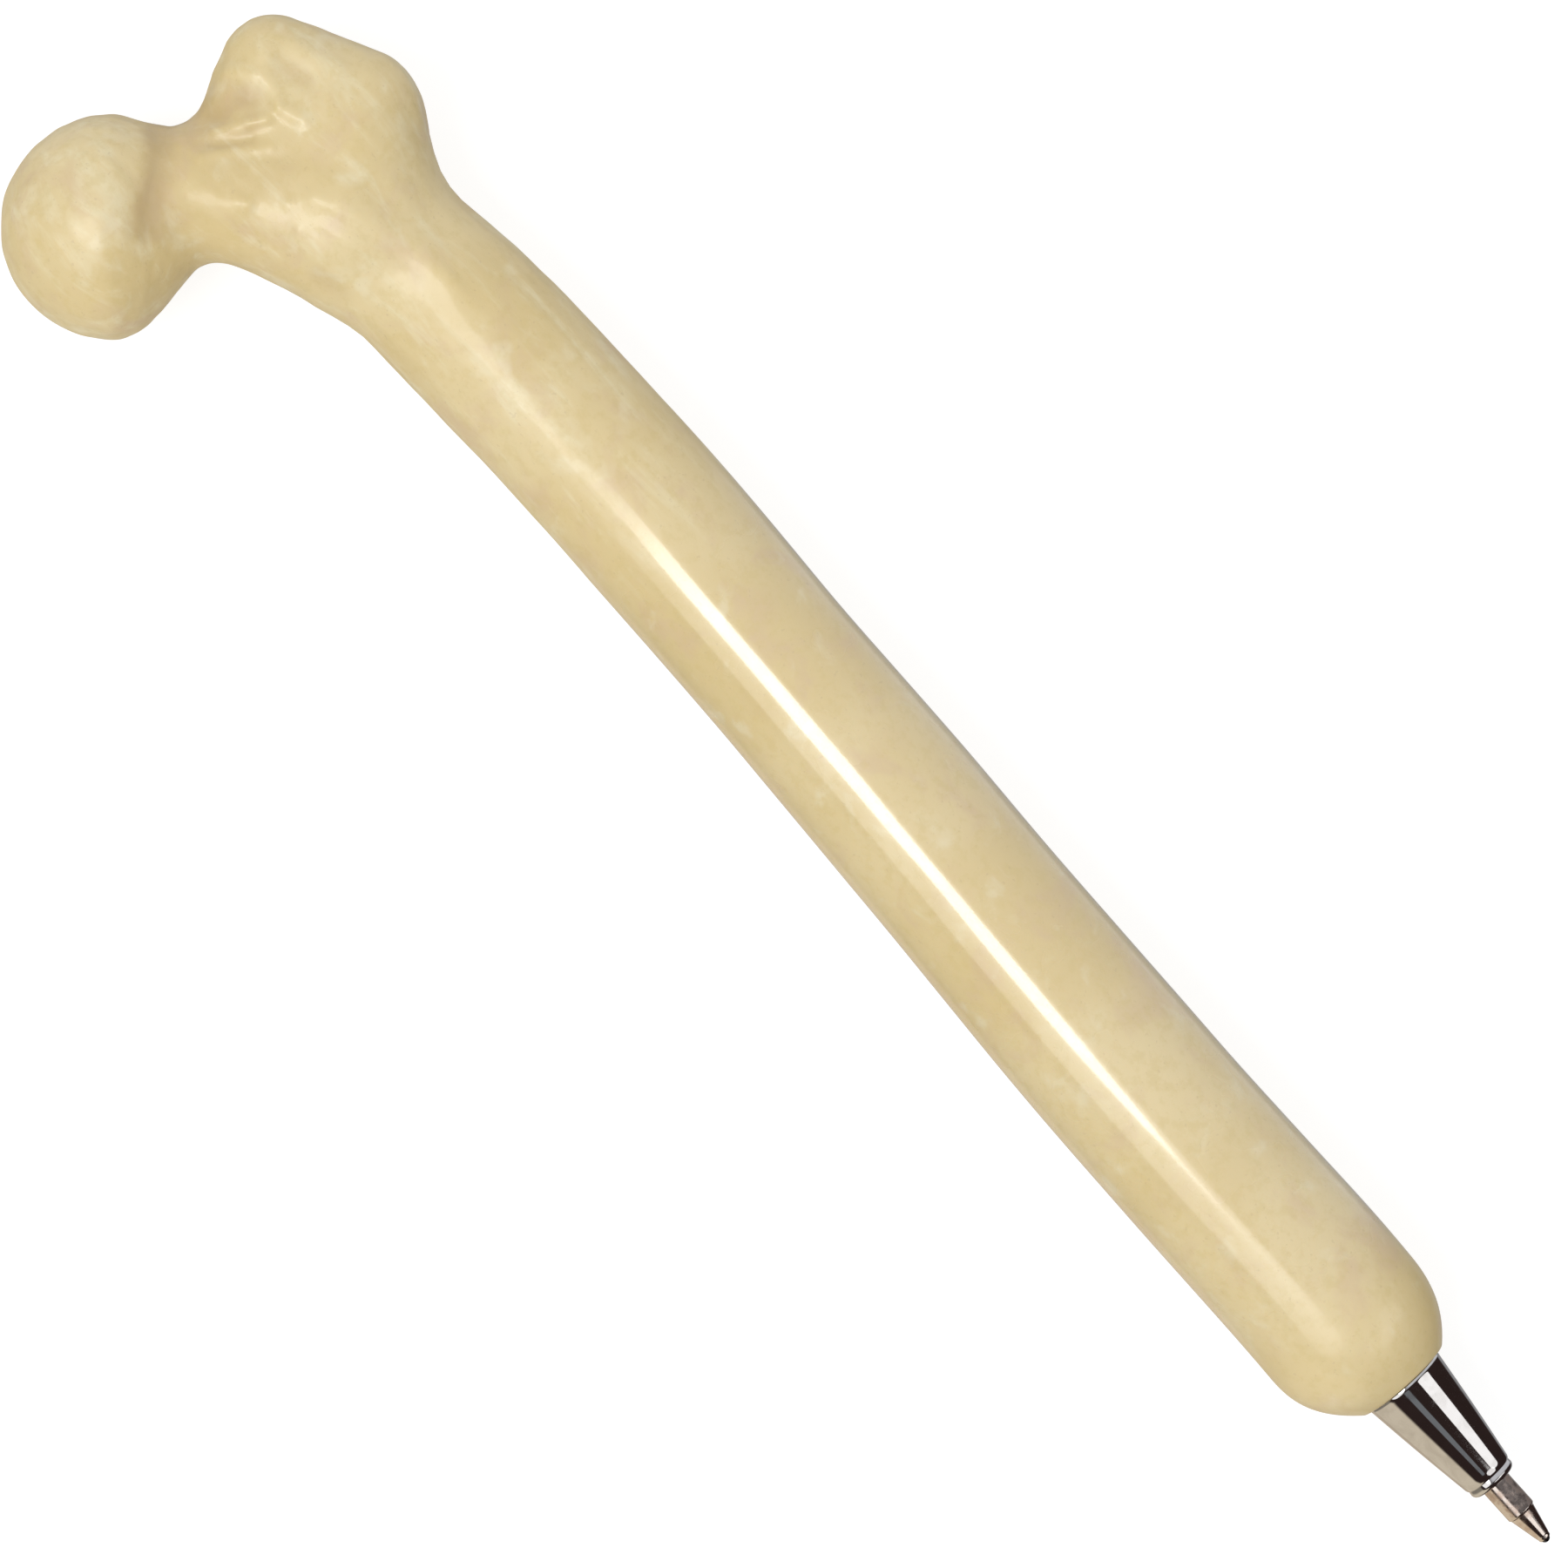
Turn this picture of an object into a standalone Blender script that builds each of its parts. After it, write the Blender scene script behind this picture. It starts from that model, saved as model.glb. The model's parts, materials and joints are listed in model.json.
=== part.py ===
"""Ballpoint pen whose barrel is a resin casting in the shape of a thigh bone.

Run it with blender --background --python part.py, or from Blender's text editor (4.5).

Sizes are in millimetres, and solid() turns them into metres. The pieces are drawn on the axis of the
bore: X runs along it towards the writing ball, x = 0 is the flat face round the barrel's mouth, +Y is
the side of the greater trochanter, and +Z is the front of the bone. At the end an empty lays the pen on
its back on z = 0, with the middle of its outline over the origin.
"""

import math

import bmesh
import bpy
import numpy as np

MM = 0.001

# ---- the refill, round which everything else fits -------------------------------------------------
TUBE_RADIUS = 1.5
TUBE_WALL = 0.5
TUBE_END_PLAY = 0.3       # behind the refill, to the closed end of the liner
SLIDE_PLAY = 0.15         # round the refill in the cone
SEAT_GAP = 0.05           # between pieces that bear on each other
COLLAR_LENGTH = 0.9
TIP_RADIUS = 1.22
TIP_CYLINDER = 3.0        # how far the tip's cylinder comes out of the cone
TIP_REACH = 6.1           # how far the ball's front comes out of the cone
TIP_STEP = 0.12
TIP_TAIL = 5.0            # the part of the tip that sits inside the tube
INK_CHANNEL = 0.35        # radius of the hole through the tip
INK_SPACE = 3.0           # empty tube behind the ink
BALL_RADIUS = 0.4
BALL_PLAY = 0.03
LIP_WALL = 0.06
CUP_REACH = 0.12          # how far the cup reaches past the ball's middle

# ---- the screw ------------------------------------------------------------------------------------
PITCH = 0.75
TURNS = 6                 # to unscrew the cone
THREAD_DEPTH = 0.35
CREST_WIDTH = 0.14
THREAD_PLAY = 0.07        # between the two threads, all round
RELIEF_LENGTH = 0.9       # plain neck between the shoulder and the thread
THREAD_SINK = 0.12        # how far a ridge's foot is sunk into the root
THREAD_FOOT_GAP = 0.06    # half the plain root left between two turns
THREAD_OVERRUN = 0.8      # turns of female thread past the end of the male one
SPIGOT_WALL = 0.6         # between the refill's space and the root of the thread
SPIGOT_CHAMFER = 0.2
SUNK_END = 0.02           # thickness left where a ridge has run out below the root
THREAD_RADIUS = TUBE_RADIUS + SLIDE_PLAY + SPIGOT_WALL + THREAD_DEPTH
MALE_TURNS = TURNS + 0.5
SPIGOT_LENGTH = RELIEF_LENGTH + PITCH * (MALE_TURNS + 0.2)

# ---- what is cast into the barrel -----------------------------------------------------------------
GLUE_GAP = 0.06           # between cast-in pieces and the resin
BUSH_WALL = 0.43          # outside the thread's crests
BUSH_BEYOND = 2.1         # bush past the end of the spigot
BUSH_RECESS = 0.3         # bush front behind the barrel's face
BUSH_LEAD_IN = 0.5        # wide stretch before the thread begins
GROOVE_DEPTH = 0.25       # two grooves round the bush key it in the resin
GROOVE_WIDTH = 0.8
GROOVE_SLOPE = 0.1
LINER_PLAY = 0.3          # round the refill
LINER_WALL = 0.7
LINER_GAP = 0.2           # between the liner's mouth and the bush
BUSH_RADIUS = THREAD_RADIUS + THREAD_PLAY + BUSH_WALL
LINER_RADIUS = TUBE_RADIUS + LINER_PLAY + LINER_WALL

# ---- the nose cone --------------------------------------------------------------------------------
CONE_LENGTH = 10.6        # from the barrel's face
CONE_THROAT = 4.2         # length of the narrow hole at its front
CONE_FRONT_WALL = 0.65
CONE_LIP = 0.45           # rounding of its front edge
CONE_CHAMFER = 0.1        # on its shoulder
EXIT_CHAMFER = 0.06       # at the edge of the exit hole
CONE_SEAT_GAP = 0.1       # between its shoulder and the barrel's face
SHOULDER_COVER = 0.29     # how far the shoulder hides the edge of the mouth
CONE_BASE_RADIUS = BUSH_RADIUS + GLUE_GAP + SHOULDER_COVER
CONE_FRONT_RADIUS = TIP_RADIUS + SLIDE_PLAY + CONE_FRONT_WALL

# ---- the bone -------------------------------------------------------------------------------------
SHAFT_LENGTH = 120.2      # mouth to the middle of the top end, where neck and trochanter begin
SHAFT_RADIUS = 7.2        # at the writing end, the thickest place
FACE_RING = 0.55          # width of the flat ring that shows round the cone
MOUTH_EDGE = CONE_BASE_RADIUS + CONE_SEAT_GAP    # the mouth is countersunk to this radius
FACE_RADIUS = MOUTH_EDGE + FACE_RING
NOSE_ROUNDING = 7.0       # length over which the shaft rounds in to that face
NOSE_POWER = 2.6          # 2 would be a parabola; more keeps the shaft full for longer
SOLID_TOP = 19.0          # solid resin between the bore's end and the top of the shaft

# Stations along the shaft, as shares of its length from the mouth, with the sideways shift of its
# middle in millimetres (the bone's bow) and its radius as a share of SHAFT_RADIUS.
SHAFT_STATIONS = np.array([0.00, 0.03, 0.07, 0.13, 0.33, 0.53, 0.78, 0.93, 1.02])
SHAFT_BOW = np.array([0.00, -0.30, -0.24, -0.18, 0.17, 0.98, 1.59, 1.11, 0.05])
SHAFT_FULLNESS = np.array([1.00, 0.998, 0.995, 0.99, 0.966, 0.927, 0.935, 0.893, 0.78])
SHAFT_END_ROUNDING = 4.0

HEAD_RADIUS = 8.5
HEAD_BEYOND = 11.1        # centre of the head past the top of the shaft, along X
HEAD_ASIDE = 14.0         # and off to the inner side, along Y
BEVEL_RADIUS = 10.6       # cone that trims the head's back, at the head's centre
BEVEL_ANGLE = math.radians(50)
BEVEL_ROUNDING = 1.6

NECK_HEAD_RADIUS = 4.1
NECK_SHAFT_RADIUS = 5.3
NECK_OFF_CENTRE = 3.1     # how far above the head's centre the neck enters it
NECK_INSIDE = 3.3         # and how far behind the centre
NECK_FOOT_Y = 1.5         # the neck's foot, below the shaft's axis
NECK_DEPTH = 1.2          # how much deeper the neck is, front to back, than it is wide
NECK_LIFT = 0.9           # how far it is set forward of the head's centre and the shaft's axis
NECK_BLEND = 4.5
RIM_BLEND = 1.9

TROCHANTER_LENGTH = 15.3
TROCHANTER_WIDTH = 9.3
TROCHANTER_DEPTH = 12.6
TROCHANTER_LIFT = 1.12    # its back above the table, before the crest is added
TROCHANTER_BEYOND = 8.2   # its middle past the top of the shaft, along X
TROCHANTER_ASIDE = 4.3    # and off to the outer side, along Y
TROCHANTER_TURN = math.radians(27.3)
TROCHANTER_ROUNDING = 4.1
TROCHANTER_BLEND = 7.2

# On the back a crest runs from the greater trochanter to the lesser one, and ends in a low tail. The
# fossa is a hollow between the crest and the neck. Places are from the top of the shaft, along X and Y.
CREST_RADIUS = 1.7
CREST_TOP = np.array([-9.7, 5.8])
CREST_LIFT = 0.65         # above the table
LESSER_RADIUS = 2.7
LESSER_PLACE = np.array([6.5, -2.2])
LESSER_LIFT = 0.35
LESSER_TAIL = np.array([3.0, 1.0, 0.0])
TAIL_RADIUS = 1.2
FOSSA_RADIUS = 3.2
FOSSA_PLACE = np.array([-9.5, -3.4])
FOSSA_DROP = 1.2          # its centre below the table
BACK_BLEND = 2.2

BONE_SEGMENTS = 32
TURNED_SEGMENTS = 32
THREAD_SEGMENTS = 20      # to a turn


# ---- helpers --------------------------------------------------------------------------------------
def material(name, colour, roughness, metallic=0.0):
    """A Principled BSDF of one colour."""
    made = bpy.data.materials.new(name)
    made.use_nodes = True
    shader = made.node_tree.nodes["Principled BSDF"]
    shader.inputs["Base Color"].default_value = (*colour, 1.0)
    shader.inputs["Roughness"].default_value = roughness
    shader.inputs["Metallic"].default_value = metallic
    return made


def solid(name, shape, finish, about=0.0):
    """An object from a bmesh in millimetres, with its origin at x = about on the axis."""
    bmesh.ops.translate(shape, verts=shape.verts, vec=(-about, 0, 0))
    bmesh.ops.scale(shape, verts=shape.verts, vec=(MM, MM, MM))
    mesh = bpy.data.meshes.new(name)
    shape.to_mesh(mesh)
    shape.free()
    mesh.shade_smooth()
    mesh.set_sharp_from_angle(angle=math.radians(30))
    made = bpy.data.objects.new(name, mesh)
    made.location = (about * MM, 0, 0)
    bpy.context.scene.collection.objects.link(made)
    mesh.materials.append(finish)
    return made


def turned(profile, segments=TURNED_SEGMENTS):
    """A bmesh turned about X from a closed outline of (x, radius) points."""
    shape = bmesh.new()
    corners = [shape.verts.new((x, 0, radius)) for x, radius in profile]
    for first, second in zip(corners, corners[1:] + corners[:1]):
        shape.edges.new((first, second))
    bmesh.ops.spin(
        shape, geom=shape.verts[:] + shape.edges[:], axis=(1, 0, 0), cent=(0, 0, 0),
        angle=math.tau, steps=segments,
    )
    bmesh.ops.remove_doubles(shape, verts=shape.verts, dist=0.001)
    bmesh.ops.dissolve_degenerate(shape, edges=shape.edges, dist=0.0001)
    lone = [edge for edge in shape.edges if not edge.link_faces]
    bmesh.ops.delete(shape, geom=lone, context="EDGES")
    bmesh.ops.recalc_face_normals(shape, faces=shape.faces)
    return shape


def arc(x, radius, size, start, end, steps):
    """Outline points on a circle of radius size about (x, radius), from one angle to another."""
    angles = np.radians(np.linspace(start, end, steps + 1))
    return [(x + size * math.cos(a), radius + size * math.sin(a)) for a in angles]


def boolean(target, other, operation):
    """Joins other to target, or cuts it out; other is kept as a hidden helper."""
    modifier = target.modifiers.new(other.name, "BOOLEAN")
    modifier.operation = operation
    modifier.solver = "EXACT"
    modifier.object = other
    other.hide_render = True
    other.display_type = "WIRE"


def smooth_curve(stations, values, at):
    """Natural cubic spline through (stations, values), read at the given places."""
    step = np.diff(stations)
    count = len(stations)
    system = np.eye(count)
    right = np.zeros(count)
    for i in range(1, count - 1):
        system[i, i - 1 : i + 2] = (step[i - 1], 2 * (step[i - 1] + step[i]), step[i])
        right[i] = 6 * ((values[i + 1] - values[i]) / step[i] - (values[i] - values[i - 1]) / step[i - 1])
    bend = np.linalg.solve(system, right)
    at = np.clip(at, stations[0], stations[-1])
    i = np.clip(np.searchsorted(stations, at) - 1, 0, count - 2)
    left = (at - stations[i]) / step[i]
    rest = 1 - left
    straight = rest * values[i] + left * values[i + 1]
    curved = (rest**3 - rest) * bend[i] + (left**3 - left) * bend[i + 1]
    return straight + curved * step[i] ** 2 / 6


# ---- the bone as a distance field -----------------------------------------------------------------
# Each function gives how far points lie outside a shape, negative inside; the bone's skin is where
# their blended union is zero.
def blend(first, second, width):
    """Smooth union of two fields, with a fillet that starts where they differ by width."""
    share = np.clip(0.5 + 0.5 * (second - first) / width, 0, 1)
    return second + (first - second) * share - width * share * (1 - share)


def limb(points, start, end, start_radius, end_radius, depth=1.0):
    """A straight limb with round ends, whose radius runs evenly from one end to the other.

    depth is its thickness along Z as a share of its width.
    """
    along = end - start
    share = np.clip((points - start) @ along / (along @ along), 0, 1)
    away = points - start - share[..., None] * along
    away = away / np.array([1.0, 1.0, depth])
    return np.linalg.norm(away, axis=-1) - start_radius - (end_radius - start_radius) * share


def block(points, centre, size, turn, rounding):
    """A box with rounded edges, turned about Z."""
    across = points - centre
    x = across[..., 0] * math.cos(turn) + across[..., 1] * math.sin(turn)
    y = across[..., 1] * math.cos(turn) - across[..., 0] * math.sin(turn)
    past = np.abs(np.stack([x, y, across[..., 2]], -1)) - (np.array(size) / 2 - rounding)
    return np.linalg.norm(np.maximum(past, 0), axis=-1) + np.minimum(past.max(-1), 0) - rounding


SHAFT_TOP = np.array([-SHAFT_LENGTH, 0.0, 0.0])
# The head, the trochanter's back and the writing end of the shaft all touch the table.
HEAD_CENTRE = SHAFT_TOP + [-HEAD_BEYOND, -HEAD_ASIDE, HEAD_RADIUS - SHAFT_RADIUS]
TROCHANTER_CENTRE = SHAFT_TOP + [
    -TROCHANTER_BEYOND, TROCHANTER_ASIDE, TROCHANTER_DEPTH / 2 + TROCHANTER_LIFT - SHAFT_RADIUS
]
NECK_FOOT = SHAFT_TOP + [0.0, -NECK_FOOT_Y, NECK_LIFT]
NECK_ANGLE = math.atan2(HEAD_ASIDE - NECK_FOOT_Y, HEAD_BEYOND)
HEAD_AXIS = np.array([-math.cos(NECK_ANGLE), -math.sin(NECK_ANGLE), 0.0])
HEAD_UP = np.array([-math.sin(NECK_ANGLE), math.cos(NECK_ANGLE), 0.0])
NECK_START = HEAD_CENTRE - HEAD_AXIS * NECK_INSIDE + HEAD_UP * NECK_OFF_CENTRE + [0.0, 0.0, NECK_LIFT]


def shaft_middle(x):
    """Y of the shaft's middle at x."""
    return smooth_curve(SHAFT_STATIONS, SHAFT_BOW, -x / SHAFT_LENGTH)


def shaft_radius(x):
    """Radius of the shaft at x, rounding in over the last stretch before the mouth."""
    full = SHAFT_RADIUS * smooth_curve(SHAFT_STATIONS, SHAFT_FULLNESS, -x / SHAFT_LENGTH)
    nearness = np.clip(1 + x / NOSE_ROUNDING, 0, 1)
    return full - (SHAFT_RADIUS - FACE_RADIUS) * nearness**NOSE_POWER


def shaft(points):
    """The shaft, round in section and rounded at its top."""
    x = points[..., 0]
    outside = np.hypot(points[..., 1] - shaft_middle(x), points[..., 2]) - shaft_radius(x)
    above = np.maximum(-SHAFT_LENGTH - x, 0)
    inset = outside + SHAFT_END_ROUNDING
    return np.hypot(np.maximum(inset, 0), above) + np.minimum(inset, 0) - SHAFT_END_ROUNDING


def head(points):
    """A ball whose back is trimmed by a cone round the neck's axis."""
    away = points - HEAD_CENTRE
    behind = -away @ HEAD_AXIS
    aside = np.linalg.norm(away + behind[..., None] * HEAD_AXIS, axis=-1)
    cone = (aside - BEVEL_RADIUS) * math.cos(BEVEL_ANGLE) + behind * math.sin(BEVEL_ANGLE)
    ball = np.linalg.norm(away, axis=-1) - HEAD_RADIUS
    return -blend(-ball, -cone, BEVEL_ROUNDING)


def back_relief(body, points):
    """Adds the crest and the lesser trochanter to the back of the bone, and hollows its fossa."""
    def on_back(place, height):
        return np.array([place[0] - SHAFT_LENGTH, place[1], height - SHAFT_RADIUS])

    crest_top = on_back(CREST_TOP, CREST_RADIUS + CREST_LIFT)
    lesser = on_back(LESSER_PLACE, LESSER_RADIUS + LESSER_LIFT)
    fossa = on_back(FOSSA_PLACE, -FOSSA_DROP)
    body = blend(body, limb(points, crest_top, lesser, CREST_RADIUS, CREST_RADIUS), BACK_BLEND)
    tail = limb(points, lesser, lesser + LESSER_TAIL, LESSER_RADIUS, TAIL_RADIUS)
    body = blend(body, tail, BACK_BLEND)
    hollow = np.linalg.norm(points - fossa, axis=-1) - FOSSA_RADIUS
    return -blend(-body, hollow, BACK_BLEND)


def bone(points):
    """The whole bone: shaft, neck, greater trochanter and head run into each other."""
    neck = limb(points, NECK_START, NECK_FOOT, NECK_HEAD_RADIUS, NECK_SHAFT_RADIUS, NECK_DEPTH)
    size = (TROCHANTER_LENGTH, TROCHANTER_WIDTH, TROCHANTER_DEPTH)
    trochanter = block(points, TROCHANTER_CENTRE, size, TROCHANTER_TURN, TROCHANTER_ROUNDING)
    body = blend(shaft(points), neck, NECK_BLEND)
    body = blend(body, trochanter, TROCHANTER_BLEND)
    body = back_relief(body, points)
    return blend(body, head(points), RIM_BLEND)


# ---- the bone's skin as a grid of rings -----------------------------------------------------------
# The rings' centres follow the middle of the bone. Past the shaft they fan about a pivot in the crook
# under the neck, outside the bone, up to the waist between neck and head.
FAN_PIVOT = SHAFT_TOP + [-0.4, -15.0, 0.0]
FAN_BULGE = 2.5           # how far the centres swing out towards the trochanter on the way
WAIST_BEHIND = 6.4        # the waist from the head's centre, back along the neck
WAIST_ABOVE = 2.3         # and across it
WAIST = HEAD_CENTRE - HEAD_AXIS * WAIST_BEHIND + HEAD_UP * WAIST_ABOVE
MOUTH_RINGS = NOSE_ROUNDING * np.array([0.0, 0.04, 0.1, 0.2, 0.32, 0.48, 0.7, 1.0])
SHAFT_RINGS = 26
FAN_RINGS = 15
NECK_RINGS = 9
HEAD_RINGS = 9
MARCH_STEP = 0.5          # of the search along a ray, less than the thinnest gap outside the bone
HALVINGS = 22


def ring_frames():
    """Centre, outward direction and forward tilt of every ring, from the mouth to the top of the head.

    Rings stand square to X along the shaft, fan about a pivot through the trochanter, stand square to
    the neck up to the head's centre, and from there tilt forward until they close at its pole.
    """
    frames = []
    side = np.array([0.0, 1.0, 0.0])
    along = np.linspace(-NOSE_ROUNDING, FAN_PIVOT[0], SHAFT_RINGS + 1)[1:]
    for x in np.concatenate([-MOUTH_RINGS, along]):
        frames.append((np.array([x, float(shaft_middle(x)), 0.0]), side, 0.0))

    first = frames[-1][0] - FAN_PIVOT
    last = WAIST - FAN_PIVOT
    start, end = math.atan2(first[1], first[0]), math.atan2(last[1], last[0])
    for share in np.linspace(0, 1, FAN_RINGS + 1)[1:]:
        angle = start + (end - start) * share
        out = np.array([math.cos(angle), math.sin(angle), 0.0])
        reach = np.linalg.norm(first) * (1 - share) + np.linalg.norm(last[:2]) * share
        bulge = FAN_BULGE * math.sin(math.pi * share)
        centre = FAN_PIVOT + out * (reach + bulge) + [0.0, 0.0, last[2] * share]
        frames.append((centre, out, 0.0))

    turned_out = frames[-1][1]
    for share in np.linspace(0, 1, NECK_RINGS + 1)[1:]:
        out = turned_out * (1 - share) + HEAD_UP * share
        centre = WAIST * (1 - share) + HEAD_CENTRE * share
        frames.append((centre, out / np.linalg.norm(out), 0.0))
    for tilt in np.radians(np.linspace(0, 90, HEAD_RINGS + 1)[1:]):
        frames.append((HEAD_CENTRE, HEAD_UP, tilt))
    return frames


def skin():
    """Points of the skin, one row to a ring: along each ray, the first place outside the bone."""
    frames = ring_frames()
    centres = np.array([frame[0] for frame in frames])[:, None]
    outs = np.array([frame[1] for frame in frames])[:, None]
    tilts = np.array([frame[2] for frame in frames])[:, None, None]
    around = np.linspace(0, math.tau, BONE_SEGMENTS, endpoint=False)[None, :, None]
    square = np.cos(around) * outs + np.sin(around) * np.array([0.0, 0.0, 1.0])
    rays = np.cos(tilts) * square + np.sin(tilts) * HEAD_AXIS
    inside = np.zeros(rays.shape[:2])
    searching = np.ones(rays.shape[:2], bool)
    while searching.any():
        ahead = bone(centres + rays * (inside + MARCH_STEP)[..., None])
        searching &= ahead < 0
        inside = inside + MARCH_STEP * searching
    outside = inside + MARCH_STEP
    for _ in range(HALVINGS):
        middle = (inside + outside) / 2
        deep = bone(centres + rays * middle[..., None]) < 0
        inside = np.where(deep, middle, inside)
        outside = np.where(deep, outside, middle)
    return centres + rays * outside[..., None]


def bone_shape():
    """The skin as a bmesh, closed by its pole at the head and by the flat face at the mouth."""
    rings = skin()
    shape = bmesh.new()
    rows = [[shape.verts.new(point) for point in ring] for ring in rings[:-1]]
    pole = shape.verts.new(rings[-1].mean(axis=0))
    count = BONE_SEGMENTS
    for near, far in zip(rows, rows[1:]):
        for i in range(count):
            j = (i + 1) % count
            shape.faces.new((near[i], near[j], far[j], far[i]))
    for i in range(count):
        shape.faces.new((rows[-1][i], rows[-1][(i + 1) % count], pole))
    shape.faces.new(rows[0][::-1])
    bmesh.ops.recalc_face_normals(shape, faces=shape.faces)
    return shape


# ---- the screw thread -----------------------------------------------------------------------------
def ridge(first_turn, last_turn, play, taper):
    """A helical ridge on the cone's spigot, as a closed body, grown all round by play.

    Its section is a trapezium that stands on the root of the thread and sinks a little into it. With
    taper, its height runs out to nothing over the last half turn at each end.
    """
    root = THREAD_RADIUS - THREAD_DEPTH
    steps = round((last_turn - first_turn) * THREAD_SEGMENTS)
    shape = bmesh.new()
    rows = []
    for step in range(steps + 1):
        turn = first_turn + step / THREAD_SEGMENTS
        angle = math.tau * (turn + 0.25 / THREAD_SEGMENTS)
        height = 1.0
        if taper:
            height = min(1.0, 2 * step / THREAD_SEGMENTS, 2 * (steps - step) / THREAD_SEGMENTS)
        base = root - THREAD_SINK
        top = base + (THREAD_DEPTH + play + THREAD_SINK) * height + SUNK_END * (1 - height)
        half_base = (PITCH - CREST_WIDTH) / 2 - THREAD_FOOT_GAP + play
        half_top = CREST_WIDTH / 2 + play
        middle = -RELIEF_LENGTH - PITCH * turn
        section = [(half_base, base), (half_top, top), (-half_top, top), (-half_base, base)]
        rows.append([
            shape.verts.new((middle + x, radius * math.sin(angle), radius * math.cos(angle)))
            for x, radius in section
        ])
    for near, far in zip(rows, rows[1:]):
        for i in range(4):
            shape.faces.new((near[i], near[(i + 1) % 4], far[(i + 1) % 4], far[i]))
    shape.faces.new(rows[0])
    shape.faces.new(rows[-1][::-1])
    bmesh.ops.recalc_face_normals(shape, faces=shape.faces)
    return shape


# ---- the pieces -----------------------------------------------------------------------------------
BORE_END = -(SHAFT_LENGTH - SOLID_TOP)
BUSH_FRONT = -BUSH_RECESS
BUSH_BACK = -(SPIGOT_LENGTH + BUSH_BEYOND)
LINER_FRONT = BUSH_BACK - LINER_GAP
LINER_BACK = BORE_END + GLUE_GAP
TUBE_BACK = LINER_BACK + LINER_WALL + TUBE_END_PLAY
TUBE_SPACE = TUBE_RADIUS + SLIDE_PLAY
CONE_STEP = CONE_LENGTH - CONE_THROAT
COLLAR_FRONT = CONE_STEP - SEAT_GAP
COLLAR_BACK = COLLAR_FRONT - COLLAR_LENGTH
TUBE_FRONT = COLLAR_BACK - SEAT_GAP
TIP_SHOULDER = CONE_LENGTH + TIP_CYLINDER
BALL_CENTRE = CONE_LENGTH + TIP_REACH - BALL_RADIUS


def bone_barrel():
    """The casting, with its stepped blind bore, countersunk at the mouth."""
    barrel = solid("bone_barrel", bone_shape(), CAST_RESIN)
    mouth = BUSH_RADIUS + GLUE_GAP
    narrow = LINER_RADIUS + GLUE_GAP
    step = BUSH_BACK - GLUE_GAP
    past = 1.0
    profile = [(past, 0), (past, MOUTH_EDGE), (0, MOUTH_EDGE), (mouth - MOUTH_EDGE, mouth)]
    profile += [(step, mouth), (step, narrow), (BORE_END, narrow), (BORE_END, 0)]
    boolean(barrel, solid("bore_cutter", turned(profile), CAST_RESIN), "DIFFERENCE")
    return barrel


def liner_tube():
    """Plastic tube, closed at its far end, that keeps the resin out of the refill's space."""
    inner = LINER_RADIUS - LINER_WALL
    floor = LINER_BACK + LINER_WALL
    profile = [(LINER_FRONT, inner), (LINER_FRONT, LINER_RADIUS), (LINER_BACK, LINER_RADIUS)]
    profile += [(LINER_BACK, 0), (floor, 0), (floor, inner)]
    return solid("liner_tube", turned(profile), WHITE_PLASTIC)


def thread_bush():
    """Brass insert with two grooves outside, to key it in the resin, and the female thread inside."""
    root = THREAD_RADIUS - THREAD_DEPTH + THREAD_PLAY
    open_radius = THREAD_RADIUS + THREAD_PLAY
    lead_in = BUSH_FRONT - BUSH_LEAD_IN
    groove = BUSH_RADIUS - GROOVE_DEPTH
    half = GROOVE_WIDTH / 2
    floor = half - GROOVE_SLOPE
    profile = [(BUSH_FRONT, open_radius), (BUSH_FRONT, BUSH_RADIUS)]
    for share in (1 / 3, 2 / 3):
        centre = BUSH_FRONT + (BUSH_BACK - BUSH_FRONT) * share
        profile += [(centre + half, BUSH_RADIUS), (centre + floor, groove)]
        profile += [(centre - floor, groove), (centre - half, BUSH_RADIUS)]
    profile += [(BUSH_BACK, BUSH_RADIUS), (BUSH_BACK, root)]
    profile += [(lead_in - THREAD_DEPTH, root), (lead_in, open_radius)]
    bush = solid("thread_bush", turned(profile, THREAD_SEGMENTS * 2), BRASS)
    cutter = solid("female_thread", ridge(-0.5, MALE_TURNS + THREAD_OVERRUN, THREAD_PLAY, False), BRASS)
    boolean(bush, cutter, "DIFFERENCE")
    return bush


def nose_cone():
    """Turned cone with a rounded front edge, a stepped bore and a threaded spigot behind its shoulder."""
    root = THREAD_RADIUS - THREAD_DEPTH
    exit_radius = TIP_RADIUS + SLIDE_PLAY
    shoulder = CONE_SEAT_GAP
    front = CONE_LENGTH
    back = -SPIGOT_LENGTH
    profile = [(back, TUBE_SPACE), (back, root - SPIGOT_CHAMFER), (back + SPIGOT_CHAMFER, root)]
    profile += [(shoulder, root), (shoulder, CONE_BASE_RADIUS - CONE_CHAMFER)]
    profile += [(shoulder + CONE_CHAMFER, CONE_BASE_RADIUS)]
    profile += arc(front - CONE_LIP, CONE_FRONT_RADIUS - CONE_LIP, CONE_LIP, 82, 0, 5)
    profile += [(front, exit_radius + EXIT_CHAMFER), (front - EXIT_CHAMFER, exit_radius)]
    profile += [(CONE_STEP, exit_radius), (CONE_STEP, TUBE_SPACE)]
    cone = solid("nose_cone", turned(profile, THREAD_SEGMENTS * 2), CHROME)
    male = solid("male_thread", ridge(0.0, MALE_TURNS, 0.0, True), CHROME)
    boolean(cone, male, "UNION")
    return cone


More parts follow.
